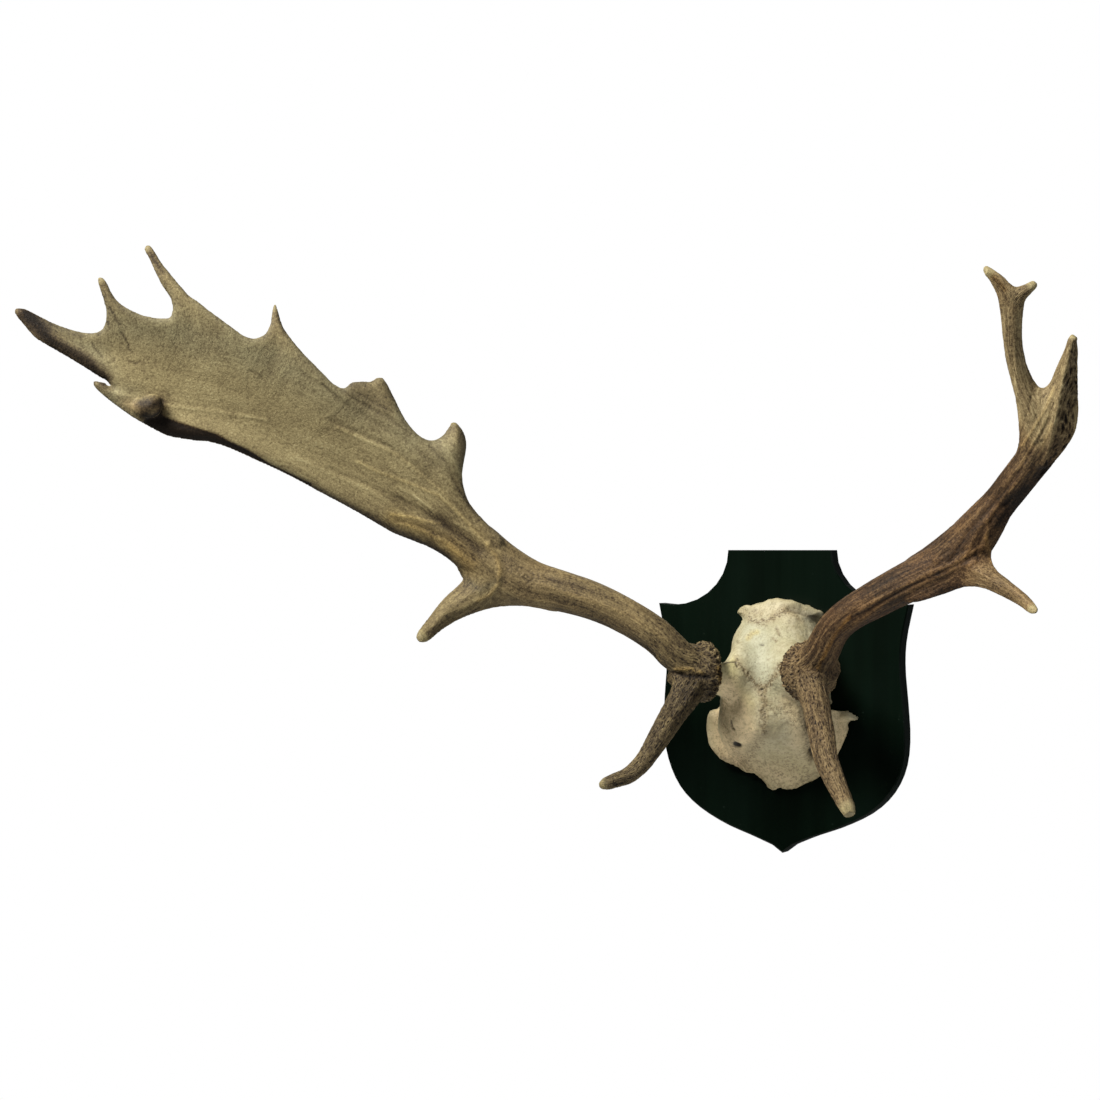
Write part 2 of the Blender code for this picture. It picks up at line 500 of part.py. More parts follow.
left_stem = (-1, LEFT_BEAM, PALM, LEFT_RINGS, PALM_TROUGH, 0.0)
left_beam, left_palm = parted(antler_rings(*left_stem), LEFT_CUT)
shade(placed("left_beam", *tube(left_beam), "antler"))
left_seat = antler_rings(*left_stem, SEAT_GAP)[:LEFT_CUT + 1]
tine("left_brow_tine", LEFT_BROW, BROW_FACING, 14, left_seat)
tine("left_trez_tine", LEFT_TREZ, BEAM_FACING, 12, left_seat)
palm = placed("left_palm", *tube(left_palm), "antler")
for rows in PALM_POINTS:
    combine(palm, placed("point", *tube(round_rings(rows, PALM_FACING, len(rows) + 2, POINT_SIDES))),
            "UNION")
shade(palm)

right_stem = (1, RIGHT_BEAM, CROWN, RIGHT_RINGS, 0.0, CROWN_KEEL)
right_beam, right_crown = parted(antler_rings(*right_stem), RIGHT_CUT)
shade(placed("right_beam", *tube(right_beam), "antler"))
shade(placed("right_crown", *tube(right_crown), "antler"))
right_seat = antler_rings(*right_stem, SEAT_GAP)
tine("right_brow_tine", RIGHT_BROW, BROW_FACING, 16, right_seat[:RIGHT_CUT + 1])
tine("right_trez_tine", RIGHT_TREZ, BEAM_FACING, 12, right_seat[:RIGHT_CUT + 1])
top = tine("right_top_tine", RIGHT_TOP, BEAM_FACING, 14, right_seat[RIGHT_CUT:])
for rows in RIGHT_PRONGS:
    combine(top, placed("prong", *tube(round_rings(rows, BEAM_FACING, 6, POINT_SIDES))), "UNION")
shade(top)
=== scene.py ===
"""Fallow deer antlers on their cut skull cap, screwed to a dark green shield that hangs on a wall.

Everything is in metres in the CAD frame: the origin is on the plaque's back, +X to the right as seen
from the front, +Y into the wall and +Z up. Sizes of the natural pieces are given in millimetres.
"""

import json
import math

import bpy
import numpy as np
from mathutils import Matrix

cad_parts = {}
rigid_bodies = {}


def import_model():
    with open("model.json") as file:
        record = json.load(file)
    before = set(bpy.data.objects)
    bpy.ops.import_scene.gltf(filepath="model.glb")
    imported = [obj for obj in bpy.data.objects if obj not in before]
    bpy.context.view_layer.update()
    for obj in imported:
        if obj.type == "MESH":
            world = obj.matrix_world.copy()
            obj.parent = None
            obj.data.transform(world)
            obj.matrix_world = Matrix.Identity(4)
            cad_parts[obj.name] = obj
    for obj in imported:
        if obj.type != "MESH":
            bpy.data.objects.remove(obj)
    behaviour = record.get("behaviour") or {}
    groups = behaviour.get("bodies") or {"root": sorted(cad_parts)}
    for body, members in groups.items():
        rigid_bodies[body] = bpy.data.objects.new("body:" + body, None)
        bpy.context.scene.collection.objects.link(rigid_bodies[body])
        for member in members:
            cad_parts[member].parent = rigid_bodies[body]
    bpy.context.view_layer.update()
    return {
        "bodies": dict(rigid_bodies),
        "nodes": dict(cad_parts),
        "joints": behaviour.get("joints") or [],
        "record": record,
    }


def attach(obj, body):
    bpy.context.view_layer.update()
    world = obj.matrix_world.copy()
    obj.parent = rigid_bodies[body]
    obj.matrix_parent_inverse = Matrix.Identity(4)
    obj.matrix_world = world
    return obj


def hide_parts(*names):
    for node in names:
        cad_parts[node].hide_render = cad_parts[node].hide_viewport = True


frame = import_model()
MM = 0.001

# Camera, studio light and floor. The camera stands three metres off, 17 degrees round to the right, and
# looks level through a long lens, turned by 21 degrees. A soft box at the upper left does most, and weaker
# ones at the right and behind lift the far edges.
CAMERA_TURN = math.radians(21.0)
CAMERA_PLACE = np.array([0.88676, -2.89104, 0.13174])
CAMERA_AHEAD = np.array([-math.sin(CAMERA_TURN), math.cos(CAMERA_TURN), 0.0])
CAMERA_RIGHT = np.array([math.cos(CAMERA_TURN), math.sin(CAMERA_TURN), 0.0])
SENSOR, PICTURE, FOCUS = 36.0, 1100.0, 3450.0        # sensor in mm; picture and focal length in pixels


def seen(points):
    """The pixel across and down of the picture where each point, in mm, shows: its sideways and its
    upward offset from the camera, each over its depth and times the focal length in pixels."""
    away = np.asarray(points, float) * MM - CAMERA_PLACE
    depth = away @ CAMERA_AHEAD
    return np.stack([PICTURE / 2 + FOCUS * (away @ CAMERA_RIGHT) / depth,
                     PICTURE / 2 - FOCUS * away[..., 2] / depth], -1)


camera = bpy.data.objects.new("camera", bpy.data.cameras.new("camera"))
camera.data.sensor_width = SENSOR
camera.data.lens = SENSOR * FOCUS / PICTURE
camera.location = CAMERA_PLACE
camera.rotation_euler = (math.radians(90.0), 0.0, CAMERA_TURN)
bpy.context.scene.collection.objects.link(camera)
bpy.context.scene.camera = camera
bpy.context.scene.view_settings.view_transform = "Standard"


def soft_light(name, place, aim, size, power, colour):
    """A square soft box at a place, turned towards its aim."""
    light = bpy.data.lights.new(name, "AREA")
    light.size, light.energy, light.color = size, power, colour
    lamp = bpy.data.objects.new(name, light)
    lamp.location = place
    away = np.array(place, float) - aim
    level = math.hypot(away[0], away[1])
    lamp.rotation_euler = (math.atan2(level, away[2]), 0.0, math.atan2(away[0], -away[1]))
    bpy.context.scene.collection.objects.link(lamp)


soft_light("key_light", (-1.25, -2.1, 2.3), (-0.05, -0.1, 0.1), 1.1, 235.0, (1.0, 0.985, 0.95))
soft_light("fill_light", (2.5, -1.45, 0.7), (0.0, -0.1, 0.1), 1.6, 15.0, (0.95, 0.98, 1.0))
soft_light("rim_light", (2.5, 0.9, 0.6), (0.1, -0.1, 0.1), 1.2, 13.0, (0.97, 0.99, 1.0))
soft_light("back_light", (-0.8, 2.4, 1.8), (0.0, 0.0, 0.1), 1.6, 14.0, (1.0, 1.0, 1.0))

world = bpy.data.worlds.new("studio")
world.use_nodes = True
bpy.context.scene.world = world
studio = world.node_tree
for node in list(studio.nodes):
    studio.nodes.remove(node)
paper, room = studio.nodes.new("ShaderNodeBackground"), studio.nodes.new("ShaderNodeBackground")
paper.inputs["Color"].default_value = (1.0, 1.0, 1.0, 1.0)
room.inputs["Color"].default_value = (0.92, 0.96, 1.0, 1.0)
room.inputs["Strength"].default_value = 0.045
direct, either = studio.nodes.new("ShaderNodeLightPath"), studio.nodes.new("ShaderNodeMixShader")
out = studio.nodes.new("ShaderNodeOutputWorld")
studio.links.new(direct.outputs["Is Camera Ray"], either.inputs[0])
studio.links.new(room.outputs[0], either.inputs[1])
studio.links.new(paper.outputs[0], either.inputs[2])
studio.links.new(either.outputs[0], out.inputs["Surface"])


class Strand:
    """A socket's output that can be added, multiplied and so on: each expression adds Math nodes."""

    def __init__(self, finish, socket):
        self.finish, self.socket = finish, socket

    def maths(self, operation, *others):
        return self.finish.node("Math", {"operation": operation}, self, *others)

    def __add__(self, other):
        return self.maths("ADD", other)

    def __sub__(self, other):
        return self.maths("SUBTRACT", other)

    def __mul__(self, other):
        return self.maths("MULTIPLY", other)

    def __rsub__(self, other):
        return self.finish.node("Math", {"operation": "SUBTRACT"}, other, self)

    __radd__, __rmul__ = __add__, __mul__

    def clipped(self):
        """The value held between 0 and 1."""
        return self.finish.node("Clamp", {}, self)

    def between(self, low, high):
        """How far the value has come from low to high, smoothly, from 0 to 1."""
        return self.finish.node("MapRange", {"interpolation_type": "SMOOTHSTEP"}, self, low, high)


class Finish:
    """A material as it is built up, on a Principled shader."""

    def __init__(self, name):
        self.material = bpy.data.materials.new(name)
        self.material.use_nodes = True
        self.tree = self.material.node_tree
        self.shader = self.tree.nodes["Principled BSDF"]

    def node(self, kind, settings, *values, out=0, **named):
        """A node of a kind: its settings first, then values or links by place or by socket name. Gives back
        the strand of one of its outputs."""
        node = self.tree.nodes.new("ShaderNode" + kind)
        for key, value in settings.items():
            if key == "stops":
                ramp = node.color_ramp.elements
                while len(ramp) < len(value):
                    ramp.new(0.5)
                for stop, (place, colour) in zip(ramp, value):
                    stop.position, stop.color = place, (*colour, 1.0)
            else:
                setattr(node, key, value)
        for key, value in [*enumerate(values), *named.items()]:
            self.join(value, node.inputs[key])
        return Strand(self, node.outputs[out])

    def join(self, value, socket):
        """Links a strand to a socket, or sets the socket's own value."""
        if isinstance(value, Strand):
            self.tree.links.new(value.socket, socket)
        else:
            bare = not isinstance(value, (int, float)) and len(value) < len(socket.default_value)
            socket.default_value = (*value, 1.0) if bare else value

    def place(self):
        """Where on the piece, in metres of the object's own frame."""
        return self.node("TexCoord", {}, out=3)

    def stretched(self, scale):
        """The place with each axis scaled on its own."""
        return self.node("Mapping", {}, self.place(), Scale=scale)

    def noise(self, where, scale, detail=3.0, roughness=0.55):
        """Soft random cloud, 0 to 1."""
        return self.node("TexNoise", {}, Vector=where, Scale=scale, Detail=detail, Roughness=roughness)

    def cells(self, where, scale, feature="F1"):
        """Distance to random points, or to the edges between their cells, in cells."""
        return self.node("TexVoronoi", {"feature": feature}, Vector=where, Scale=scale)

    def held(self, name):
        """A value that the piece's points hold."""
        return self.node("Attribute", {"attribute_name": name}, out=2)

    def held_vector(self, name):
        """Three numbers that the piece's points hold."""
        return self.node("Attribute", {"attribute_name": name}, out=1)

    def mix(self, share, first, second, blend="MIX"):
        """Two colours mixed by a share."""
        mixed = self.tree.nodes.new("ShaderNodeMix")
        mixed.data_type, mixed.blend_type = "RGBA", blend
        for value, index in ((share, 0), (first, 6), (second, 7)):
            self.join(value, mixed.inputs[index])
        return Strand(self, mixed.outputs[2])

    def bump(self, height, strength, distance):
        """A bumped normal from a height."""
        return self.node("Bump", {}, Height=height, Strength=strength, Distance=distance)

    def sets(self, **values):
        """Feeds the shader, where underscores in a name stand for spaces, and gives back the material."""
        for key, value in values.items():
            self.join(value, self.shader.inputs[key.replace("_", " ")])
        return self.material


floor_paint = Finish("floor_paint")
floor_paint.sets(Base_Color=floor_paint.mix(floor_paint.noise(floor_paint.place(), 3.0), (0.84, 0.84, 0.83),
                                            (0.88, 0.88, 0.87)), Roughness=0.8)
FLOOR_HEIGHT, FLOOR_RADIUS, FLOOR_SIDES = -0.75, 0.9, 96
turn = 2 * np.pi * np.arange(FLOOR_SIDES) / FLOOR_SIDES
mesh = bpy.data.meshes.new("floor")
mesh.from_pydata(np.stack([FLOOR_RADIUS * np.cos(turn), FLOOR_RADIUS * np.sin(turn),
                           np.full(FLOOR_SIDES, FLOOR_HEIGHT)], 1).tolist(), [], [range(FLOOR_SIDES)])
mesh.materials.append(floor_paint.material)
floor = bpy.data.objects.new("floor", mesh)
bpy.context.scene.collection.objects.link(floor)


# The plaque is a board about 18 mm thick, sawn to a shield, sanded and brushed with very dark green
# satin paint. It keeps its CAD shape. The brush strokes run down the board, and a little dust lies on it.
paint = Finish("painted_wood")
strokes = paint.noise(paint.stretched((260.0, 40.0, 9.0)), 1.0, 4.0, 0.6)
wide_strokes = paint.noise(paint.stretched((55.0, 30.0, 4.0)), 1.0, 2.0)
cloud = paint.noise(paint.place(), 9.0, 3.0)
specks = 1 - paint.cells(paint.place(), 210.0).between(0.05, 0.16)
speck_area = paint.noise(paint.place(), 60.0, 1.0).between(0.62, 0.72)
dust = specks * speck_area
green = paint.mix(wide_strokes.between(0.3, 0.7), (0.0009, 0.0028, 0.0013), (0.0015, 0.0046, 0.0023))
green = paint.mix(cloud.between(0.35, 0.75) * 0.5, green, (0.0021, 0.0058, 0.0037))
green = paint.mix(dust * 0.5, green, (0.03, 0.045, 0.035))
paint.sets(Base_Color=green, Roughness=(0.24 + strokes * 0.10 + cloud * 0.06).clipped(),
           Specular_IOR_Level=0.07,
           Normal=paint.bump(strokes * 0.6 + wide_strokes * 0.7, 0.35, 0.0004))


def coat(node, finish):
    """Gives a piece that keeps its CAD shape its finish."""
    frame["nodes"][node].data.materials.clear()
    frame["nodes"][node].data.materials.append(finish.material)


coat("plaque", paint)


# What holds the plaque and the skull is pressed and turned steel: a zinc-plated keyhole plate let into
# the back with two countersunk screws, and two longer yellow-plated screws up into the bone.
for slot, nodes, colours in (
        ("hanger_steel", ["hanger_plate"], ((0.48, 0.49, 0.50), (0.62, 0.62, 0.61))),
        ("screw_steel", ["hanger_screw_left", "hanger_screw_right", "skull_screw_upper", "skull_screw_lower"],
         ((0.50, 0.42, 0.24), (0.66, 0.58, 0.40)))):
    steel = Finish(slot)
    brushed = steel.noise(steel.stretched((30.0, 400.0, 900.0)), 1.0, 3.0)
    spangle = steel.cells(steel.place(), 420.0)
    steel.sets(Base_Color=steel.mix((brushed * 0.6 + spangle * 0.4).clipped(), *colours), Metallic=1.0,
               Roughness=0.3 + brushed * 0.2,
               Normal=steel.bump(brushed, 0.2, 0.0001))
    for node in nodes:
        coat(node, steel)


# The skull cap is old bone, bleached and stained: the frontal bones with the roofs of both eye sockets,
# and the top of the braincase up to the crest at the back. It was sawn flat, and two screws from behind
# hold it to the plaque. Its crest, seams, holes and stains are placed by where they show in the picture.
def curve(rows, count):
    """A smooth curve through rows of numbers, read at evenly spaced steps: each span is the cubic that
    passes its two rows with the slopes of the rows on either side (Catmull-Rom)."""
    rows = np.asarray(rows, float)
    ends = np.vstack([2 * rows[0] - rows[1], rows, 2 * rows[-1] - rows[-2]])
    steps = np.linspace(0, len(rows) - 1, count)
    span = np.minimum(steps.astype(int), len(rows) - 2)
    part = (steps - span)[:, None]
    a, b, c, d = (ends[span + k] for k in range(4))
    return 0.5 * (2 * b + (c - a) * part + (2 * a - 5 * b + 4 * c - d) * part**2
                  + (3 * b - a - 3 * c + d) * part**3)


def unit(vectors):
    """The vectors, each at length one."""
    vectors = np.asarray(vectors, float)
    return vectors / np.maximum(np.linalg.norm(vectors, axis=-1, keepdims=True), 1e-12)


def smooth(value, low, high):
    """How far a value has come from low to high, from 0 to 1, with a soft start and end."""
    share = np.clip((np.asarray(value, float) - low) / (high - low), 0, 1)
    return share * share * (3 - 2 * share)


def chance(cells, seed):
    """A random number from 0 to 1 for each whole-numbered cell of space: its three numbers and the
    seed are mixed by multiplying with large primes."""
    mixed = cells[..., 0] * 73856093 ^ cells[..., 1] * 19349663 ^ cells[..., 2] * 83492791 ^ seed * 2654435761
    mixed = (mixed & 0xFFFFFFFF) * 1274126177 & 0xFFFFFFFF
    mixed = (mixed ^ mixed >> 15) * 2246822519 & 0xFFFFFFFF
    return (mixed ^ mixed >> 13 & 0xFFFFFFFF) / 4294967295.0


def cloud_at(points, seed):
    """Soft random relief, about -1 to 1: random slopes at the corners of each unit cell, with their
    heights blended across it by a quintic."""
    cell = np.floor(points).astype(np.int64)
    part = points - cell
    ease = part**3 * (part * (part * 6 - 15) + 10)
    total = np.zeros(len(points))
    for corner in np.ndindex(2, 2, 2):
        spot = cell + corner
        slope = np.stack([chance(spot, seed + k) for k in range(3)], -1) * 2 - 1
        share = np.where(corner, ease, 1 - ease).prod(-1)
        total += share * (slope * (part - corner)).sum(-1)
    return total * 1.9


def to_line(points, line):
    """Distance from each point to a bent line, and how far along the line its nearest place is, 0 to 1."""
    line = np.asarray(line, float)
    lengths = np.linalg.norm(np.diff(line, axis=0), axis=1)
    starts = np.concatenate([[0], np.cumsum(lengths)])
    near, share = np.full(len(points), np.inf), np.zeros(len(points))
    for a, b, start, length in zip(line[:-1], line[1:], starts, lengths):
        part = np.clip((points - a) @ (b - a) / length**2, 0, 1)
        far = np.linalg.norm(points - a - part[:, None] * (b - a), axis=1)
        share = np.where(far < near, (start + part * length) / starts[-1], share)
        near = np.minimum(near, far)
    return near, share


def tube(rings):
    """Points and faces of a closed tube through rings of equally many points, with flat ends."""
    count, sides = rings.shape[:2]
    ring, side = np.meshgrid(np.arange(count - 1), np.arange(sides), indexing="ij")
    a, b = ring * sides + side, ring * sides + (side + 1) % sides
    faces = np.stack([a, b, b + sides, a + sides], -1).reshape(-1, 4).tolist()
    faces += [list(range(sides - 1, -1, -1)), list(range((count - 1) * sides, count * sides))]
    return rings.reshape(-1, 3), faces


class Stem:
    """A stem of an antler: rows of x, y, z, half width and half thickness, in mm, along its line."""

    STEP, LEAST = 1.5, 0.5           # in mm: between rings, and of a half width or a half thickness
    BATCH, SLACK = 4000, 30.0        # points taken at a time, and square mm that even out thick and thin

    def __init__(self, rows, facing):
        rough = np.asarray(rows, float)
        count = int(np.linalg.norm(np.diff(rough[:, :3], axis=0), axis=1).sum() / self.STEP) + 8
        rows = curve(rough, count)
        self.middle = rows[:, :3]
        self.wide, self.thick = np.maximum(rows[:, 3], self.LEAST), np.maximum(rows[:, 4], self.LEAST)
        self.along = unit(np.gradient(self.middle, axis=0))
        self.across = unit(np.cross(self.along, facing))
        self.out = np.cross(self.across, self.along)
        steps = np.linalg.norm(np.diff(self.middle, axis=0), axis=1)
        self.run = np.concatenate([[0], np.cumsum(steps)])

    def body(self, sides=32, share=1.0):
        """Points and faces of the stem as a closed tube: at each place an oval, its width times the
        cosine across and its thickness times the sine outwards, round a full turn, at a share of its size."""
        turn = 2 * np.pi * np.arange(sides) / sides
        wide, thick = share * self.wide[:, None], share * self.thick[:, None]
        rings = (self.middle[:, None] + self.across[:, None] * (wide * np.cos(turn))[..., None]
                 + self.out[:, None] * (thick * np.sin(turn))[..., None])
        return tube(rings)

    def lie(self, points):
        """For each point: its run along the stem, its offsets across and out, its distance from the line
        as a share of the stem's own radius there, and the number of the nearest ring."""
        near = np.empty(len(points), int)
        for start in range(0, len(points), self.BATCH):
            part = points[start:start + self.BATCH]
            away = part[:, None] - self.middle[None]
            reach = np.einsum("ijk,ijk->ij", away, away) / (self.wide * self.thick + self.SLACK)[None]
            near[start:start + self.BATCH] = reach.argmin(1)
        away = points - self.middle[near]
        slip = (away * self.along[near]).sum(1)
        across, out = (away * self.across[near]).sum(1), (away * self.out[near]).sum(1)
        past_end = (near == 0) & (slip < 0) | (near == len(self.run) - 1) & (slip > 0)
        share = np.sqrt((across / self.wide[near])**2 + (out / self.thick[near])**2
                        + np.where(past_end, slip / self.thick[near], 0)**2)
        return self.run[near] + slip, across, out, share, near


def skin_over(name, bodies, grain):
    """One closed skin over closed bodies that overlap, as a mesh of even four-sided faces of a grain in
    mm. Returns the object, its points in mm and its edges."""
    points, faces, start = [], [], 0
    for body_points, body_faces in bodies:
        points.append(body_points)
        faces += [[corner + start for corner in face] for face in body_faces]
        start += len(body_points)
    rough = bpy.data.meshes.new(name + "_rough")
    rough.from_pydata((np.concatenate(points) * MM).tolist(), [], faces)
    thing = bpy.data.objects.new(name, rough)
    bpy.context.scene.collection.objects.link(thing)
    skin = thing.modifiers.new("skin", "REMESH")
    skin.mode, skin.voxel_size = "VOXEL", grain * MM
    bpy.context.view_layer.update()
    thing.data = bpy.data.meshes.new_from_object(thing.evaluated_get(bpy.context.evaluated_depsgraph_get()))
    thing.modifiers.clear()
    thing.data.name = name
    bpy.data.meshes.remove(rough)
    spots = np.empty(len(thing.data.vertices) * 3)
    thing.data.vertices.foreach_get("co", spots)
    edges = np.empty(len(thing.data.edges) * 2, int)
    thing.data.edges.foreach_get("vertices", edges)
    return thing, spots.reshape(-1, 3) / MM, edges.reshape(-1, 2)


def put_points(thing, points):
    """Moves the mesh's points, in mm, and returns the surface's outward directions there."""
    thing.data.vertices.foreach_set("co", (points * MM).ravel())
    thing.data.update()
    ways = np.empty(len(points) * 3, np.float32)
    thing.data.vertex_normals.foreach_get("vector", ways)
    return ways.reshape(-1, 3).astype(float)


def neighbours_mean(values, edges):
    """The mean of each point's neighbours along the edges."""
    a, b = edges.T
    size = len(values)
    count = np.maximum(np.bincount(a, minlength=size) + np.bincount(b, minlength=size), 1)
    flat = values.reshape(size, -1)
    total = np.stack([np.bincount(a, flat[b, k], size) + np.bincount(b, flat[a, k], size)
                      for k in range(flat.shape[1])], 1)
    return (total / count[:, None]).reshape(values.shape)


def eased(points, edges, times):
    """The points after each has moved half of the way to its neighbours' mean and, every second time, a
    little more the other way, so that the whole doesn't shrink."""
    for turn in range(times):
        step = 0.5 if turn % 2 == 0 else -0.52
        points = points + step * (neighbours_mean(points, edges) - points)
    return points


def filled(thing, points, edges, times, where):
    """The points after the hollows have been filled: a point moves to its neighbours' mean as far as
    that lies outside the surface, most where the share is 1."""
    for turn in range(times):
        ways = put_points(thing, points) if turn % 6 == 0 else ways
        pull = ((neighbours_mean(points, edges) - points) * ways).sum(1)
        points = points + ways * (np.maximum(pull, 0) * where)[:, None]
    return points


def hold(thing, **values):
    """Keeps a number, or three, for each point of the mesh under a name, for its finish."""
    for name, value in values.items():
        value = np.asarray(value, np.float32)
        kept = thing.data.attributes.new(name, "FLOAT" if value.ndim == 1 else "FLOAT_VECTOR", "POINT")
        kept.data.foreach_set("value" if value.ndim == 1 else "vector", value.ravel())


def pixels_per_mm(points):
    """How many pixels of the picture a millimetre takes at each point."""
    return FOCUS * MM / ((points * MM - CAMERA_PLACE) @ CAMERA_AHEAD)


def pushed(points, push):
    """The points moved across the picture by so many pixels to the right and down."""
    push = push / pixels_per_mm(points)[:, None]
    return points + push[:, :1] * CAMERA_RIGHT - push[:, 1:] * np.array((0.0, 0.0, 1.0))


def nudged(points, nudges):
    """The points after small pushes read off the picture: each has a place, how far it pushes to the right
    and down, and its reach, all in pixels, and fades as a bell curve with the distance."""
    spots, push = seen(points), np.zeros((len(points), 2))
    for u, v, right, down, reach in nudges:
        push += np.exp(-((spots - (u, v))**2).sum(1) / reach**2)[:, None] * (right, down)
    return pushed(points, push)


def towards_camera(points, ways):
    """How squarely each place of a surface faces the camera, from 0 to 1."""
    return smooth((ways * unit(CAMERA_PLACE / MM - points)).sum(1), 0.02, 0.35)


def stroke(spots, facing, line, width):
    """How much a place lies on a line drawn over the picture: a bell curve of its distance in pixels."""
    return facing * np.exp(-(to_line(spots, line)[0] / width)**2)


def marked(spots, facing, held, names, lines):
    """Puts lines over the picture on a piece. After its places a line has its width in pixels, how many mm
    it stands out, and how much it adds to each of the named values that the points hold; what isn't given
    is none. Returns the mm, added up."""
    rise_by = np.zeros(len(spots))
    for line, width, rise, *looks in lines:
        along = stroke(spots, facing, line, width)
        rise_by += along * rise
        for name, much in zip(names, looks):
            held[name] += along * much
    return rise_by


# In mm, mostly as rows of a height z and a measure there: how far the midline stands off the plaque, half
# the braincase's width, how far the sawn face reaches to each side, and how far the brow and the rim stand
# off the plaque
SKULL_MIDDLE = 1.5
MIDLINE = [(88.5, 20), (86, 27), (78, 33), (66, 44), (54, 54), (38, 61), (13, 65), (-8, 64), (-24, 56.5),
           (-37, 44), (-49, 30), (-60, 18.5), (-69, 11.5), (-75.5, 6.5)]
CASE_HALF_WIDTH = [(88.5, 22), (86, 30), (78, 37), (70, 34.5), (54, 43.5), (40, 48.5), (20, 51), (-6, 54),
                   (-26, 55), (-40, 50), (-50, 42), (-61, 29), (-75.5, 9)]
LEFT_RIM = [(88.5, 22), (78, 38), (70, 36.5), (54, 45), (30, 52), (6, 53), (-6, 58), (-11, 67),
            (-20, 69.5), (-36, 68), (-43, 63.5), (-50.5, 55.5), (-57.5, 44), (-64, 28), (-70, 19.5),
            (-75.5, 10)]
RIGHT_RIM = [(88.5, 21), (77, 36.5), (68, 35), (54, 38), (30, 42), (8, 42.5), (-2, 43.5), (-5.5, 49),
             (-7.5, 60), (-10.5, 66.5), (-13, 65), (-15.5, 59.5), (-18.5, 57.5), (-26, 57), (-35, 53),
             (-44, 48.5), (-57, 41), (-64.5, 32.5), (-70, 22), (-75.5, 10)]
HOOD_HEIGHT = [(88.5, 6), (20, 12), (-6, 20), (-20, 22), (-40, 18), (-60, 11), (-75.5, 5.5)]
RIM_HEIGHT = [(88.5, 2), (70, 1.5), (10, 2), (-5, 6), (-15, 9.5), (-38, 10), (-50, 7), (-62, 3.5),
              (-75.5, 2)]
PLAQUE_FRONT = -18.3
BONE_WALL = 5.0
# Each eye socket is hollow from so far across, and between a foot and a head, all with soft edges
SOCKET_ACROSS, SOCKET_FOOT, SOCKET_HEAD = (27, 36), (-66, -54), (0, -8)
SKULL_RINGS, RING_STEPS, SKULL_GRAIN = 150, 150, 0.90
# Of the left side, -1, and the right one, 1: which way the pedicle points, and where the coronet sits on it.
# A pedicle has a radius at each height under its coronet, and the bone flows into it round its foot.
PEDICLE_WAYS = {side: unit((0.62 * side, -0.78, 0.03)) for side in (-1, 1)}
CORONETS = {-1: np.array((-45.0, -93.0, 28.0)), 1: np.array((46.0, -93.0, 29.0))}
PEDICLE_PROFILE = [(-46, 33), (-30, 26.5), (-18, 21.5), (-9, 18.8), (-1, 18.5)]
PEDICLE_FOOT, FOOT_REACH = 22, (46, 24)
BEAM_FACING = (0.0, -1.0, 0.15)


def read(rows, z):
    """The value at heights z of a smooth curve through rows of z and value."""
    fine = curve(rows, 12 * len(rows))
    order = np.argsort(fine[:, 0])
    return np.interp(z, fine[order, 0], fine[order, 1])


def skull_body():
    """The skull as a closed tube of level rings. A ring runs over the top, with side from -1 to 1 as the
    sine of an even angle, at side times the sawn face's reach from the middle, and a little further right
    where the rim stands high. It stands off the plaque by the fourth root of the sum of two fourth powers:
    the vault's, which is the midline's height times sqrt(1 - |across / half width of the braincase|^2.6),
    and the brow's, which rises above the rim by sqrt(1 - side^6). It runs back flat on the plaque, or a
    bone wall under the top where the sockets are hollow."""
    z = np.linspace(MIDLINE[0][0], MIDLINE[-1][0], SKULL_RINGS)[:, None]
    side = np.sin(np.linspace(-math.pi / 2, math.pi / 2, RING_STEPS))[None]
    rim = read(RIM_HEIGHT, z)
    edge = np.where(side < 0, read(LEFT_RIM, z), read(RIGHT_RIM, z))
    x = SKULL_MIDDLE + edge * side + 0.36 * (rim - 2.0) * np.abs(side)**3
    vault = read(MIDLINE, z) * np.sqrt(np.maximum(1 - np.abs(edge * side / read(CASE_HALF_WIDTH, z))**2.6, 0))
    brow = rim + (read(HOOD_HEIGHT, z) - rim) * np.sqrt(np.maximum(1 - np.abs(side)**6, 0))
    top = (vault**4 + brow**4)**0.25
    socket = smooth(np.abs(edge * side), *SOCKET_ACROSS) * smooth(z, *SOCKET_FOOT) * smooth(z, *SOCKET_HEAD)
    under = np.maximum(top - BONE_WALL, 0) * socket
    over = np.stack([x, PLAQUE_FRONT - top, z + 0 * x], -1)
    below = np.stack([x, PLAQUE_FRONT - under, z + 0 * x], -1)[:, ::-1]
    return tube(np.concatenate([over, below], axis=1))


def pedicle_stem(side):
    """The stump of bone that carries an antler, as a stem along its line."""
    return Stem([(*(CORONETS[side] + PEDICLE_WAYS[side] * height), radius, radius)
                 for height, radius in PEDICLE_PROFILE], BEAM_FACING)


# Read off the picture, in pixels: small pushes that give the bone its own outline
SKULL_NUDGES = [(750, 599, 0, 4.5, 8), (762, 600, 0, 2.5, 6), (776, 599, 0, -2, 5), (804, 600, 0, 5, 9),
                (741, 609, -4, 1, 5), (746, 605, 0, -2, 5), (776, 597, 0, 2.2, 7), (813, 608, 0, 2.5, 7),
                (722, 646, 2, 16, 11), (734, 767, 0, -2, 8), (757, 780, 0, -4, 8), (771, 787, 0, 2, 4),
                (780, 788, 0, -1.5, 3), (856, 716, 0, 2.5, 5), (712, 712, -1, -1.5, 5)]
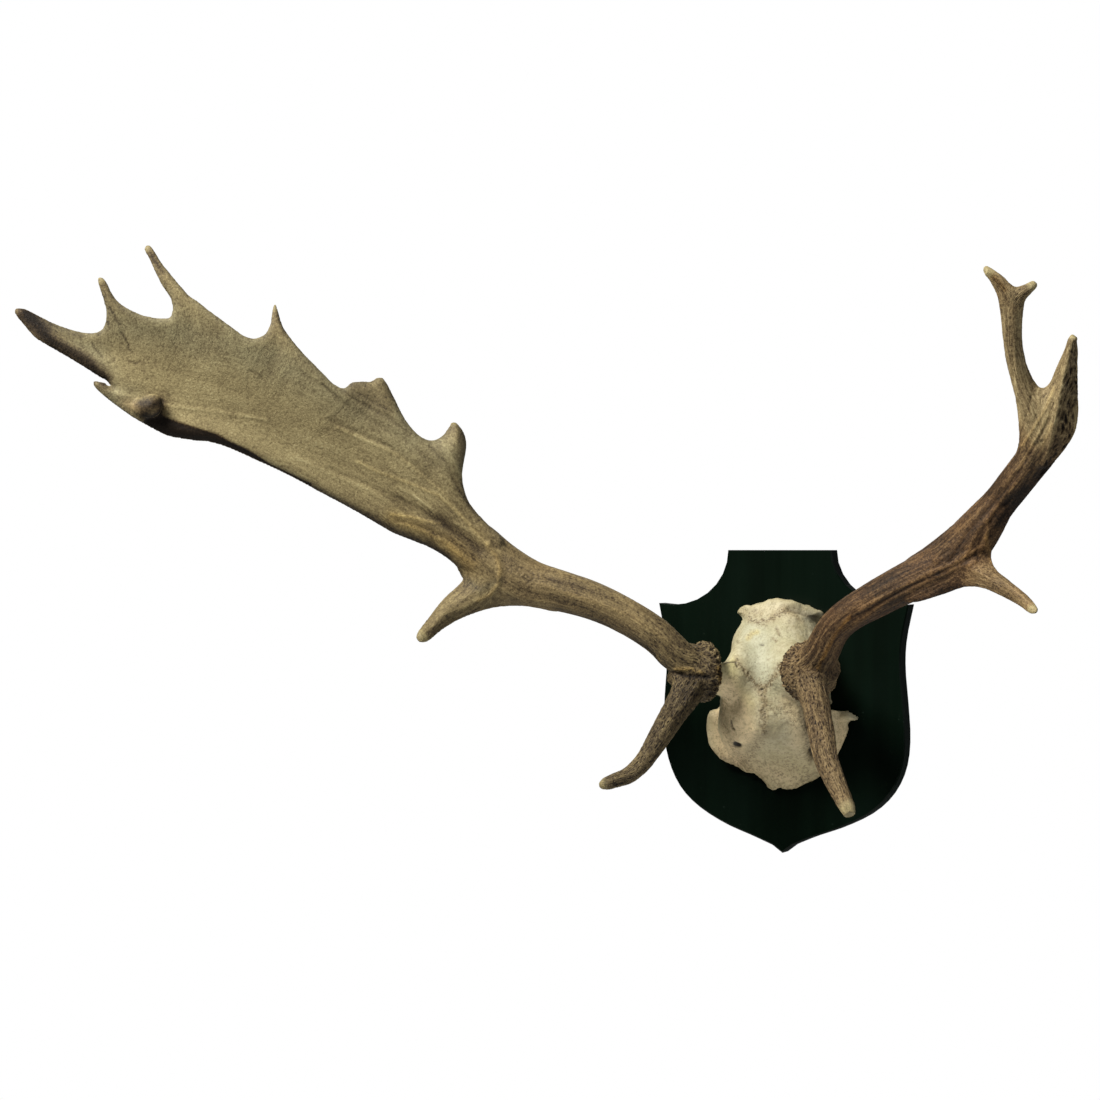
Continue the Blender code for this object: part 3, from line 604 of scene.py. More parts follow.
# Lines over the picture: their width, the mm that the bone stands out or in along them, then how brown,
# how dark and how yellow it is there. Some of them are painted shade or painted light, each noted where it
# stands
SKULL_LINES = [
    ([(738, 612), (742, 606), (752, 605), (768, 602), (775, 600), (790, 602), (803, 606), (820, 614)], 2.4,
     1.9, 0.1, 0, 0.1),
    # Under the crest's two ends the bone is set in, and browner and darker: painted shade under the overhang
    ([(743, 612), (758, 612)], 4, -1.5, 0.4, 0.1),
    ([(790, 609), (802, 612), (816, 618)], 3, -2.2, 0.4, 0.5),
    ([(783, 609), (792, 613), (801, 621)], 3, 0, 0.6, 0, 0.1),
    ([(769, 600), (775, 598.5), (781, 600)], 3, 1),
    ([(722, 706), (726, 722), (731, 742), (741, 760)], 6, 0, 0.45, 0, 0.5),
    ([(717, 716), (718, 738)], 7, 0, 0.2, 0, 0.4),
    ([(731, 700), (737, 722), (740, 736)], 8, 3, 0, 0, 0.3),
    ([(711.5, 716), (709.5, 730), (713.5, 745), (722, 757)], 3.2, 1.5),
    ([(805, 702), (808, 730), (813, 757)], 6, -1.2, 0.9, 0.15),
    # A hole above the left eye socket, as a dent darkened strongly: painted shade inside it
    ([(736, 743.8), (738.6, 744.3)], 2.5, -2.8, 0.3, 2.4),
    ([(733, 720), (733.5, 725), (736, 728)], 1.1, -1, 0.8, 0.5),
    # Two dents, darkened: painted shade inside them
    ([(808, 722), (808.5, 727)], 2.4, -2.5, 0.4, 0.9),
    ([(811, 752), (813, 757)], 2.6, -2.5, 0.4, 0.9),
    ([(725, 663), (735.6, 662), (737, 667)], 0.9, -0.9, 0.6, 0.7),
    ([(730, 664), (733, 690)], 9, 0.9, 0, 0, 1),
    # Below the left pedicle: partly the bone's own yellow and partly painted light against the shade there
    ([(724, 697), (736, 695), (746, 703)], 8, 0, 0.2, 0, 1),
    ([(743, 612), (738, 632), (732, 650)], 4, 0, 0.35, 0, 0.2),
    ([(757, 741), (750, 756)], 7, 0, 0.5, 0, 0.1),
    ([(716, 751), (730, 760), (748, 768)], 5, 0.5, 0.7, 0, 0.2),
    ([(770, 706), (800, 716)], 11, 0, 0.45),
    ([(762, 770), (800, 768)], 14, 0, 0.35, 0, 0.2),
    # On the right eye socket's roof: partly the bone's own yellow and partly painted light against the shade
    # there
    ([(830, 714), (838, 736)], 8, 0, 0.2, 0, 0.8),
    ([(845, 713), (855, 717)], 3, 0.6, -0.3),
    ([(748, 638), (752, 633), (757, 632)], 2.6, -0.3, 0.45, 0.05, 1),
    ([(777, 629), (779, 634)], 1.6, -0.4, 0.8, 0.2),
    ([(773, 638), (776, 641)], 1.4, -0.3, 0.6, 0.1),
    ([(761, 645), (763, 645)], 1.2, -0.6, 0.4, 0.6),
    ([(736, 641), (737, 642)], 1.2, -0.6, 0.4, 0.6),
    ([(741, 737), (751, 731), (765, 729)], 5, 0.8),
]
# The seams where the skull's bones grew together wander in and out along these lines, over soft shade. In
# pixels: how far they wander, how wide they are and how wide their shade is.
SEAMS = [[(749, 619), (758, 622), (767, 621), (776, 615), (786, 610)],
         [(737, 660), (745, 672), (755, 684), (762, 690)],
         [(762, 690), (770, 683), (777, 672), (780, 665)],
         [(762, 690), (764, 704), (763, 716), (765, 732)]]
SEAM_WANDER, SEAM_WIDTH, SEAM_SHADE = 3.2, 0.9, 4.5

skull_cap, skull_points, skull_edges = skin_over(
    "skull_bone", [skull_body(), pedicle_stem(-1).body(40), pedicle_stem(1).body(40)], SKULL_GRAIN)
skull_points = eased(skull_points, skull_edges, 6)
round_stumps = np.zeros(len(skull_points))
for side in (-1, 1):
    foot = CORONETS[side] - PEDICLE_WAYS[side] * PEDICLE_FOOT
    round_stumps = np.maximum(round_stumps, smooth(np.linalg.norm(skull_points - foot, axis=1), *FOOT_REACH))
skull_points = filled(skull_cap, skull_points, skull_edges, 120, round_stumps)
skull_points = nudged(skull_points, SKULL_NUDGES)
skull_ways = put_points(skull_cap, skull_points)
skull_spots, skull_facing = seen(skull_points), towards_camera(skull_points, skull_ways)
raise_by = 0.5 * cloud_at(skull_points / 11, 301) + 0.25 * cloud_at(skull_points / 4.5, 302)
# In mm: between which distances from the plaque the sawn rim is rough and brown, and between which heights
# the bone turns browner and yellower downwards, and paler and warmer downwards, the last partly painted light
RIM_FADES, RIM_STARTS = (15, 3), (0.2, 1.5)
BROWN_BELOW, YELLOW_BELOW, TAN_AND_PAINTED_LIGHT_BELOW = (-35, -70), (-25, -60), (-10, -50)
# Wider tints, each with how strong and how many pixels wide it is, and its line over the picture. The
# tan tint is partly the bone's own warm colour and partly painted light, which lifts the
# eye socket roofs, the bone under the left pedicle and the low forehead where they lie in shade
SKULL_TINTS = [
    ("cool", 1.0, 17.0, [(752, 630), (757, 645), (764, 672)]),
    ("peach", 1.0, 12.0, [(757, 610), (775, 609), (790, 613)]),
    ("tan", 1.0, 12.0, [(720, 716), (720, 736), (730, 756)]),
    ("tan", 1.0, 12.0, [(834, 712), (840, 736), (832, 758)]),
    ("tan", 1.6, 12.0, [(728, 690), (737, 708), (745, 732)]),
    ("tan", 0.7, 9.0, [(790, 700), (797, 720), (800, 740)]),
    ("tan", 0.5, 10.0, [(736, 756), (760, 772), (790, 778)]),
]
bone_marks = {name: np.zeros(len(skull_points)) for name in ("brown", "dark", "yellow")}
raise_by += marked(skull_spots, skull_facing, bone_marks, list(bone_marks), SKULL_LINES)
wander = skull_spots + SEAM_WANDER * np.stack([cloud_at(skull_points / 2.2 + k, 303) for k in (0, 9)], 1)
seams = sum(stroke(wander, skull_facing, line, SEAM_WIDTH) for line in SEAMS)
near_seams = sum(stroke(skull_spots, skull_facing, line, SEAM_SHADE) for line in SEAMS)
raise_by += 0.30 * near_seams * cloud_at(skull_points / 2.2, 304) - 0.45 * seams
raise_by += 0.12 * cloud_at(skull_points / 2.4, 306)
bone_marks["brown"] += 0.8 * seams + 0.6 * near_seams
bone_marks["dark"] += 0.40 * seams
height = PLAQUE_FRONT - skull_points[:, 1]
low_rim = smooth(height, *RIM_FADES) * smooth(height, *RIM_STARTS)
raise_by += low_rim * 0.9 * cloud_at(skull_points / 3.6, 305)
bone_marks["brown"] += 0.4 * low_rim + 0.15 * smooth(skull_points[:, 2], *BROWN_BELOW)
bone_marks["yellow"] += 0.45 * smooth(skull_points[:, 2], *YELLOW_BELOW)
for name in ("cool", "peach", "tan"):
    bone_marks[name] = sum(much * stroke(skull_spots, skull_facing, line, width)
                           for tint, much, width, line in SKULL_TINTS if tint == name)
# Painted light mixed with the bone's warmer colour: paler and warmer downwards
bone_marks["tan"] += 0.35 * smooth(skull_points[:, 2], *TAN_AND_PAINTED_LIGHT_BELOW)
skull_points = skull_points + skull_ways * raise_by[:, None]
put_points(skull_cap, skull_points)
hold(skull_cap, **bone_marks)
skull_cap.data.shade_smooth()
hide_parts("skull_cap")
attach(skull_cap, "root")

bone = Finish("skull_bone")
mottle = bone.noise(bone.place(), 55.0, 5.0, 0.65)
blotch = bone.noise(bone.place(), 24.0, 3.0)
fleck = bone.noise(bone.place(), 300.0, 4.0, 0.7)
grit = bone.noise(bone.place(), 560.0, 2.0, 0.7)
pores = 1 - bone.cells(bone.place(), 520.0).between(0.12, 0.36)
brown = bone.held("brown").clipped()
dirty = (brown * 0.9 + (mottle - 0.5) * 1.2).clipped()
cream = bone.mix(mottle.between(0.38, 0.60), (0.300, 0.262, 0.150), (0.425, 0.385, 0.250))
for share, stain in (
        (blotch.between(0.46, 0.60) * 0.4, (0.330, 0.310, 0.175)),
        (bone.held("cool").clipped() * 0.7, (0.350, 0.352, 0.245)),
        (bone.held("peach").clipped() * 0.6, (0.440, 0.375, 0.235)),
        ((bone.held("yellow") * (0.4 + mottle * 0.9)).clipped() * 0.9, (0.520, 0.460, 0.215)),
        # Partly the bone's own warm colour and partly painted light: a pale warm mix that lifts shaded places
        ((bone.held("tan") * (0.2 + mottle * 1.3)).clipped(), (0.700, 0.555, 0.320)),
        ((brown * (fleck * 1.7 - 0.15)).clipped() * 0.9, (0.200, 0.136, 0.062)),
        ((fleck.between(0.48, 0.62) * (0.22 + dirty * 0.6)).clipped(), (0.215, 0.170, 0.090)),
        ((grit.between(0.53, 0.64) * (0.22 + dirty * 0.78)).clipped(), (0.080, 0.058, 0.030)),
        ((bone.held("dark") * (0.6 + fleck * 0.8)).clipped(), (0.016, 0.011, 0.006)),
        (pores * fleck.between(0.5, 0.62) * 0.5, (0.150, 0.115, 0.065))):
    cream = bone.mix(share, cream, stain)
skull_cap.data.materials.append(bone.sets(
    Base_Color=cream, Roughness=(0.52 + mottle * 0.16).clipped(), Specular_IOR_Level=0.35,
    Normal=bone.bump(fleck * 0.9 + mottle * 0.5 + grit * 0.3 - pores * 0.4, 0.6, 0.0009)))


# The left antler is solid antler, grown as one piece and shed of its velvet: a beam with a brow tine and
# a trez tine, then a palm as wide as a hand with six points along its upper edge, a curled stub and a
# hooked point at its lower corner. One skin is drawn over its stems and its flattened bodies.
def pebbles_at(points, seed):
    """Distances to the nearest and to the second nearest of random points, one in each unit cell."""
    cell = np.floor(points).astype(np.int64)
    first, second = np.full(len(points), 9.0), np.full(len(points), 9.0)
    for step in np.ndindex(3, 3, 3):
        spot = cell + np.array(step) - 1
        there = spot + np.stack([chance(spot, seed + k) for k in range(3)], -1)
        far = np.linalg.norm(points - there, axis=-1)
        second = np.minimum(second, np.maximum(first, far))
        first = np.minimum(first, far)
    return first, second


def within(points, outline):
    """Whether each point of a plane lies inside a closed outline: it does when a level line from it
    crosses the outline an odd number of times."""
    inside = np.zeros(len(points), bool)
    for a, b in zip(outline, np.roll(outline, -1, axis=0)):
        spans = (a[1] > points[:, 1]) != (b[1] > points[:, 1])
        rise = b[1] - a[1] if b[1] != a[1] else 1.0
        inside ^= spans & (points[:, 0] < a[0] + (points[:, 1] - a[1]) / rise * (b[0] - a[0]))
    return inside


def patch(spots, facing, outline, soft):
    """How far a place lies inside an outline drawn over the picture, from 0 to 1 over a soft edge."""
    outline = np.asarray(outline, float)
    far = to_line(spots, np.vstack([outline, outline[:1]]))[0] * np.where(within(spots, outline), 1, -1)
    return facing * smooth(far, -soft, soft)


# How far a flattened body grows past its outline, in pixels; then in mm, the step of its grid, how far the
# grid goes past the marks, how round the body's edge is, and how far in from its edge its dish comes down
GROW, GRID_STEP, GRID_MARGIN, EDGE_ROUND, DISH_REACH = 0.9, 1.2, 25, 2.5, 14


def flattened(outline, marks, order, half, dish=0.0):
    """A flattened body that fills an outline read off the picture, and grows a little past it. Over a grid
    in x and z its depth is the polynomial that fits the marks best, set back by the dish times
    1 - exp(-d / reach of the dish), and its half thickness is R tanh(sqrt(d (d + roundness)) / R), for d mm
    inside the outline and R as half gives. Corners of the grid just outside are drawn in to the outline."""
    marks = np.asarray(marks, float)
    centre = marks.mean(0)

    def terms(x, z):
        x, z = (x - centre[0]) / 100, (z - centre[2]) / 100
        return np.stack([x**i * z**j for i in range(order + 1) for j in range(order + 1 - i)], -1)

    weights = np.linalg.lstsq(terms(marks[:, 0], marks[:, 2]), marks[:, 1], rcond=None)[0]
    low, high = marks.min(0) - GRID_MARGIN, marks.max(0) + GRID_MARGIN
    x, z = np.meshgrid(np.arange(low[0], high[0], GRID_STEP), np.arange(low[2], high[2], GRID_STEP),
                       indexing="ij")
    points = np.stack([x, terms(x, z) @ weights, z], -1)
    flat = points.reshape(-1, 3)
    spots = seen(flat)
    outline = np.asarray(outline, float)
    edge = curve(np.vstack([outline, outline[:1]]), 4 * len(outline) + 1)
    far, along = to_line(spots, edge)
    far = np.where(within(spots, edge[:-1]), far, -far)
    depth_in = np.maximum(far + GROW, 0) / pixels_per_mm(flat)
    inside = depth_in > 0
    reach = half(flat, spots)
    thick = reach * np.tanh(np.sqrt(depth_in * (depth_in + EDGE_ROUND)) / reach)
    slope_x, slope_z = np.gradient(points[..., 1], GRID_STEP)
    ways = unit(np.stack([slope_x, -np.ones_like(x), slope_z], -1)).reshape(-1, 3)
    runs = np.concatenate([[0], np.cumsum(np.linalg.norm(np.diff(edge, axis=0), axis=1))])
    on_edge = np.stack([np.interp(along * runs[-1], runs, edge[:, k]) for k in (0, 1)], 1)
    flat = pushed(flat, np.where(inside, 0, 1 + GROW / np.minimum(far, -GROW))[:, None] * (on_edge - spots))
    flat = flat + np.array([0, 1, 0]) * (dish * (1 - np.exp(-depth_in / DISH_REACH)))[:, None]
    front, back = flat + ways * thick[:, None], flat - ways * thick[:, None]
    number = np.arange(len(flat)).reshape(x.shape)
    cells = np.stack([number[:-1, :-1], number[1:, :-1], number[1:, 1:], number[:-1, 1:]], -1).reshape(-1, 4)
    cells = cells[inside[cells].any(1)]
    behind = np.where(inside[cells], cells + len(flat), cells)
    faces = np.concatenate([cells, behind[:, ::-1]])
    used, index = np.unique(faces, return_inverse=True)
    return np.concatenate([front, back])[used], index.reshape(-1, 4).tolist()


# The coronet in mm: its radius at each height on the pedicle, and how far its top leans with its beam
CORONET_ROWS = [(-2.6, 19.5), (-1.5, 24), (0.5, 26), (4, 26.2), (8, 24.6), (13, 21.4), (20, 18.6),
                (26, 16.5)]
CORONET_LEANS = {-1: np.array((-6, 3, 6)), 1: np.array((4, 4, 8))}
BURR_SLOTS = 26
# The cells of the relief, in mm along a stem, across it and out of it: of its sway, of its wide and its
# narrow grooves, of its net of ridges and of its swellings
SWAY, WIDE_GROOVES, NARROW_GROOVES = (40, 18, 18), (85, 5.2, 5.2), (42, 3.2, 3.2)
NET, SWELLINGS = (10.0, 3.2, 3.2), (70, 9.0, 9.0)


def coronet_stem(side):
    """The knobbly ring at the antler's foot, as a stem along the pedicle's line: it leans by the square of
    its share of the coronet's height."""
    way, lean, top = PEDICLE_WAYS[side], CORONET_LEANS[side], CORONET_ROWS[-1][0]
    return Stem([(*(CORONETS[side] + way * height + lean * (max(height, 0) / top)**2), radius, radius)
                 for height, radius in CORONET_ROWS], BEAM_FACING)


def antler(name, stems, bodies, forks, nudges, side, grain, seed):
    """An antler's skin, of a grain in mm, with its forks filled out, and its relief in mm. In a stem's own
    frame, drawn out along it, a net of ridges stands between random points, grooves lie where a random
    cloud crosses zero, and a broad cloud swells it. A stem's rows give, at a share of its run, how strong
    the net is and how pale and how red the antler is, and then how many mm of its end are worn smooth.
    Round the coronet the net is finer and higher, and slots along the antler part its rim into beads. Of
    the stems the first is the main one, and the others count by how near they are. Returns the object, its
    points, its outward ways, the relief and all that each point holds."""
    thing, points, edges = skin_over(name, bodies, grain)
    points = eased(points, edges, 6)
    near_fork = np.zeros(len(points))
    for place, radius in forks:
        far = np.linalg.norm(points - place, axis=1)
        near_fork = np.maximum(near_fork, smooth(far, radius, radius * 0.45))
    points = eased(filled(thing, points, edges, 60, near_fork), edges, 4)
    points = nudged(points, nudges)
    ways = put_points(thing, points)
    places = [stem.lie(points) for stem, _, _ in stems]
    share = np.maximum(np.array([place[3] for place in places]), 0.2) ** -9.0
    share /= share.sum(0)
    tine = share[1:].argmax(0) + 1
    kept = {key: np.zeros(len(points)) for key in ("groove", "pit", "broad", "net", "pale", "red", "worn")}
    frames = np.zeros((2, len(points), 3))
    for number, ((stem, rows, worn), (run, across, out, _, spot)) in enumerate(zip(stems, places)):
        # Across a thin stem the cells are narrower, by a power of its mean radius against 14 mm
        spread = (14.0 / np.sqrt(stem.wide * stem.thick)[spot])**0.55
        frame = np.stack([run, across * spread, out * spread], 1)
        use = np.ones(len(points), bool) if number == 0 else tine == number
        frames[min(number, 1)][use] = frame[use] + number * 50
        some = share[number] > 0.004
        q, part = frame[some], share[number][some]
        sway = [cloud_at(q / SWAY + k * 7.7, seed + number) for k in (1, 2)]
        q = q + np.stack([0 * sway[0], sway[0] * 3.0, sway[1] * 3.0], 1)
        wide, narrow = cloud_at(q / WIDE_GROOVES, seed + 31), cloud_at(q / NARROW_GROOVES, seed + 37)
        kept["groove"][some] += part * (0.65 * np.exp(-(wide / 0.13)**2) + 0.35 * np.exp(-(narrow / 0.16)**2))
        first, second = pebbles_at(q / NET, seed + 41)
        kept["pit"][some] += part * smooth(second - first, 0.08, 0.5)
        kept["broad"][some] += part * cloud_at(q / SWELLINGS, seed + 47)
        row_share, *looks = np.array(rows).T
        way = np.clip(q[:, 0] / stem.run[-1], 0, 1)
        for key, look in zip(("net", "pale", "red"), looks):
            kept[key][some] += part * np.interp(way, row_share, look)
        if worn:
            kept["worn"][some] += part * smooth(q[:, 0], stem.run[-1] - worn, stem.run[-1] - 0.3 * worn)
    way = PEDICLE_WAYS[side]
    away = points - CORONETS[side]
    height = away @ way
    round_it = away - height[:, None] * way
    radius = np.linalg.norm(round_it, axis=1)
    close = 1 - smooth(radius, 30, 36)
    burr = (1 - smooth(height, 2.5, 10)) * close * smooth(height, -7, -2)
    kept["net"] += 0.5 * smooth(height, 3, 12) * (1 - smooth(height, 20, 34)) * (1 - smooth(radius, 30, 40))
    grown_at = round_it / 3.0 + height[:, None] * way / 15.0
    grown_at += np.stack([cloud_at(points / 7 + k, seed + 53) for k in range(3)], 1) * 0.45
    first, second = pebbles_at(grown_at, seed + 59)
    level = unit(np.cross(way, (0, 0, 1)))
    turn = np.arctan2(round_it @ np.cross(level, way), round_it @ level) / (2 * np.pi)
    slot = np.exp(-(((turn * BURR_SLOTS + 0.5 * cloud_at(points / 6, seed + 67)) % 1 - 0.5) / 0.17)**2)
    slot *= smooth(height, 13, 7) * smooth(height, -5, -2) * close
    kept.update(burr=burr, knob=smooth(second - first, 0.0, 0.32), main_grain=frames[0], tine_grain=frames[1],
                tine_share=share[1:].sum(0), dark=0.24 * slot, gold=np.zeros(len(points)),
                grey=np.zeros(len(points)))
    wild = kept["net"] * (1 - 0.85 * kept["worn"])
    relief = wild * (0.15 - 0.35 * kept["pit"]) + (0.2 + 0.5 * wild) * (0.9 * kept["broad"] - kept["groove"])
    relief = relief * (1 - burr) + burr * (1.4 * kept["knob"] - 0.8 + 0.6 * cloud_at(points / 5.5, seed + 61))
    relief -= 1.5 * slot
    return thing, points, ways, relief, kept


def horn_finish(name, shades, tips, pale_lines):
    """Antler's colour, by its lightness from the darkest of its shades to the palest. The lightness is how
    pale the place is, with its relief, a net of fine ridges, streaks drawn out along the grain, specks, and
    long thin lines, paler by so much. Round the burr the net is fine and runs every way. Red, gold and grey
    tint it, and worn ends are mixed from two colours of their own."""
    horn = Finish(name)

    def along_grain(pattern, length, width):
        """A pattern in cells of a length along the grain and a width across it, in mm: that of the main
        stem and that of the tines, blended."""
        main, tines = (pattern(horn.node("Mapping", {}, horn.held_vector(grain),
                                         Scale=(1 / length, 1 / width, 1 / width)))
                       for grain in ("main_grain", "tine_grain"))
        return main + (tines - main) * horn.held("tine_share")

    def streaks(where):
        """Random cloud."""
        return horn.noise(where, 1.0, 2.0)

    def meshes(where):
        """A net of ridges, 1 on a ridge, between random cells whose places a cloud has bent."""
        bent = horn.node("VectorMath", {"operation": "ADD"}, where,
                         horn.node("TexNoise", {}, Vector=where, Scale=0.8, Detail=1.0, out=1))
        return 1 - horn.cells(bent, 1.0, "DISTANCE_TO_EDGE").between(0.12, 0.42)

    fine, middling = along_grain(streaks, 24.0, 1.6), along_grain(streaks, 70.0, 3.6)
    ridge = along_grain(meshes, 5.5, 2.2)
    lines = 1 - (middling - 0.5).maths("ABSOLUTE").between(0.0, 0.05)
    stipple = horn.noise(horn.place(), 620.0, 3.0, 0.75)
    specks = horn.noise(horn.place(), 340.0, 2.0, 0.6).between(0.50, 0.64)
    blotch = horn.noise(horn.place(), 36.0, 3.0)
    net, burr, worn = horn.held("net").clipped(), horn.held("burr"), horn.held("worn")
    streaked = (net * 3.0).clipped() * (1 - net * 0.6)
    knurl = 1 - horn.cells(horn.place(), 400.0, "DISTANCE_TO_EDGE").between(0.08, 0.34)
    crest = 1 - horn.held("pit") * net * 0.3 - horn.held("groove") * (0.06 + net * 0.3)
    crest = crest + (horn.held("knob") - crest) * burr
    # The held darkness is partly painted shade: on undersides and shaded sides, round the palm and on the keel
    # side
    light = (horn.held("pale") + (crest - 0.80) * (0.34 - burr * 0.06) + horn.held("broad") * 0.05
             + (ridge - 0.6) * net * 0.40 + (knurl - 0.5) * burr * 0.36
             + (middling - 0.5) * (0.1 + streaked * 0.32) + (fine - 0.5) * (0.15 + streaked * 0.48)
             + (lines - 0.3) * streaked * pale_lines + (stipple - 0.5) * 0.75 - (specks - 0.4) * 0.10
             + (blotch - 0.5) * 0.28 - horn.held("dark"))
    stops = [(number / (len(shades) - 1), shade) for number, shade in enumerate(shades)]
    colour = horn.node("ValToRGB", {"stops": stops}, light.clipped())
    for tint, much, shade in (("red", 0.9, (1.10, 0.87, 0.76)), ("gold", 1.0, (1.16, 0.98, 0.60)),
                              ("grey", 1.0, (0.92, 1.0, 1.12))):
        tinted = (horn.held(tint) * (0.35 + blotch * 1.3) * much).clipped()
        colour = horn.mix(tinted, colour, shade, "MULTIPLY")
    ivory = horn.mix((stipple * 0.6 + fine * 0.4).clipped(), *tips)
    colour = horn.mix((worn * (0.1 + stipple * 1.1)).clipped(), colour, ivory)
    height = crest * 0.5 + (ridge * 0.6 + fine * 1.2 - lines * 0.3) * (0.1 + net) + stipple * 0.6
    return horn.sets(Base_Color=colour, Roughness=(0.60 - worn * 0.2 + (1 - crest) * 0.15).clipped(),
                     Specular_IOR_Level=0.15, Normal=horn.bump(height, 0.8, 0.0010))


PALM_FACING, BROW_FACING = (0.36, -0.93, 0.10), (1.0, -0.2, 0.2)

# In mm, close to the CAD's own: x, y, z, half width and half thickness along each stem
LEFT_BEAM = [(-47, -95, 29, 18, 18), (-54, -104, 35, 17, 18), (-62, -113, 41, 14.8, 16.2),
             (-80, -124, 60, 15, 15), (-106, -133, 77, 15.3, 15), (-132, -140, 89, 16.3, 15.5),
             (-158, -146, 97, 17.6, 16), (-184, -152, 104, 20, 16), (-209, -160, 118, 22, 15),
             (-232, -169, 138, 22, 12.5), (-256, -184, 156, 17, 7), (-280, -197, 172, 7, 2)]
LEFT_BROW = [(-49, -106, 32, 9, 9), (-52, -115, 15, 13.2, 13), (-60, -134, -7, 11, 11),
             (-64, -150, -21, 9.9, 9.9), (-68, -164, -34, 8.8, 8.8), (-73, -176, -46, 7.8, 7.8),
             (-82, -186, -56, 7, 7), (-91, -194, -60, 6.2, 6), (-98.5, -198.3, -62.8, 5, 5),
             (-102.5, -200, -63.8, 2.4, 2.4)]
LEFT_TREZ = [(-205, -156, 122, 12, 8), (-217, -160, 108, 17.5, 12), (-230, -168, 91, 13.3, 11),
             (-239, -177, 83, 10.6, 9.5), (-246, -187, 77, 7.8, 7.5), (-251, -197, 69, 5.6, 5.6),
             (-255, -205, 62, 4.6, 4.6), (-259, -211, 58, 3.4, 3.4)]
PALM_OUTLINE = [(502, 540), (484.6, 522), (469.3, 504), (463, 486), (462, 471), (465.7, 446), (462.5, 432),
                (454, 422.5), (449, 428), (442.5, 436.6), (431, 441), (418, 435.5), (405.5, 421),
                (396, 403), (385, 382), (379, 378), (366, 381.5), (352, 383), (344, 389), (333, 384),
                (321, 372), (304, 355), (292, 341), (283, 328), (278, 314), (275, 305), (272.5, 313),
                (271, 324), (265, 335), (254, 339), (243, 336), (233, 329), (221, 320), (204, 307.5),
                (183, 289), (173, 278), (160, 262), (152, 248), (147.5, 246), (147, 251), (154, 268),
                (160, 280), (169, 293), (173, 305), (171, 317), (160, 319), (148, 317), (137.5, 314),
                (121, 305), (112, 295), (106, 283), (102, 278), (98.5, 279), (100, 287), (104, 299),
                (107, 312), (105, 326), (98, 332.5), (83, 333), (62.5, 327.5), (42, 318), (26, 310),
                (17, 309), (15.5, 313), (23, 322.5), (38, 336.5), (53.5, 348), (70.5, 358), (86, 367.5),
                (99, 376), (108, 382), (114.5, 389), (110, 388.5), (103, 385), (96, 381.5), (93.5, 383),
                (97, 388.5), (107.5, 398), (125, 411), (140, 421), (157.5, 430.5), (170.5, 436),
                (194, 440), (207, 441), (222.5, 445), (240, 452), (259.5, 461), (279, 470), (301, 481),
                (325, 494), (355, 510), (380, 524.5), (395, 533), (413, 540), (431, 547.5), (446, 556.5),
                (456.5, 565.5), (463, 577), (480, 590), (500, 580)]
PALM_MARKS = [(-223, -172, 153), (-247, -172, 123), (-231, -182, 181), (-267, -182, 136),
              (-243, -196, 209), (-298, -196, 150), (-258, -208, 228), (-326, -208, 168),
              (-287, -222, 250), (-352, -222, 184), (-317, -236, 268), (-383, -236, 201),
              (-350, -252, 290), (-413, -252, 218), (-383, -268, 310), (-438, -268, 224),
              (-421, -283, 319), (-459, -283, 228), (-459, -296, 327), (-480, -296, 241),
              (-486, -307, 321), (-495, -307, 254), (-508, -318, 313), (-503, -318, 272),
              (-525, -326, 290), (-545, -333, 299), (-559, -337, 312), (-568, -338, 321),
              (-575, -338, 331), (-241, -186, 237), (-304, -218, 272), (-373, -256, 335),
              (-470, -300, 388), (-505, -320, 360), (-510, -321, 274)]
LOWER_EDGE = [(93, 383), (125, 411), (170, 436), (207, 441), (240, 452), (301, 481), (355, 510),
              (413, 540), (463, 572)]
END_EDGE = [(15, 313), (38, 336), (70, 358), (99, 376)]
# The rim's darkness is painted shade where the palm rounds away
PALM_RIM = 3.5                   # pixels that the darker rim is wide
PALM_BASE, PALM_SWELLS = 4.6, (-335, -232)       # in mm, and from where to where in x it swells


def palm_half(points, spots):
    """The palm's half thickness: that of its middle, more by a soft step towards the beam, and rounded out
    by bell curves of the distance from its lower edge and from under its end point."""
    low, end = to_line(spots, LOWER_EDGE)[0], to_line(spots, END_EDGE)[0]
    return (PALM_BASE + 7.5 * smooth(points[:, 0], *PALM_SWELLS) + 3.4 * np.exp(-(low / 20)**2)
            + 2.6 * np.exp(-(end / 16)**2))


FORK_OUTLINE = [(540, 575), (505, 556), (480, 553), (462, 560), (459, 568), (463, 575), (463, 581),
                (455.3, 589), (441, 602.5), (428.5, 619), (418, 633), (417.5, 638), (421, 641.5),
                (428.5, 640), (441, 629.5), (456.5, 620), (474.5, 612.5), (492, 607.5), (512.5, 605.5),
                (533, 606.5), (558.5, 611), (565, 600)]
FORK_MARKS = [row[:3] for row in (*LEFT_BEAM[5:10], *LEFT_TREZ[1:], (-180, -148, 90))]
FORK_THINS = (425, 490)          # pixels across


def fork_half(points, spots):
    """Half thickness of the fork: that of the beam, and less by a soft step out along the tine."""
    return 4.5 + 8.5 * smooth(spots[:, 0], *FORK_THINS)


STUB_OUTLINE = [(133, 405), (138, 400), (145, 395.8), (151, 394.2), (156, 394.6), (160, 397.2),
                (161.8, 402.5), (161.3, 409), (158.5, 414.5), (152, 417.5), (142, 416), (134, 411)]
STUB_MARKS = [(-490, -307, 243), (-445, -289.5, 243), (-488, -307, 262), (-445, -289.5, 262)]
STUB_SWELLS = (130, 154)         # pixels across


def stub_half(points, spots):
    """Half thickness of the stub: it grows by a soft step from its left to its blunt right end."""
    return 2.0 + 8.0 * smooth(spots[:, 0], *STUB_SWELLS)


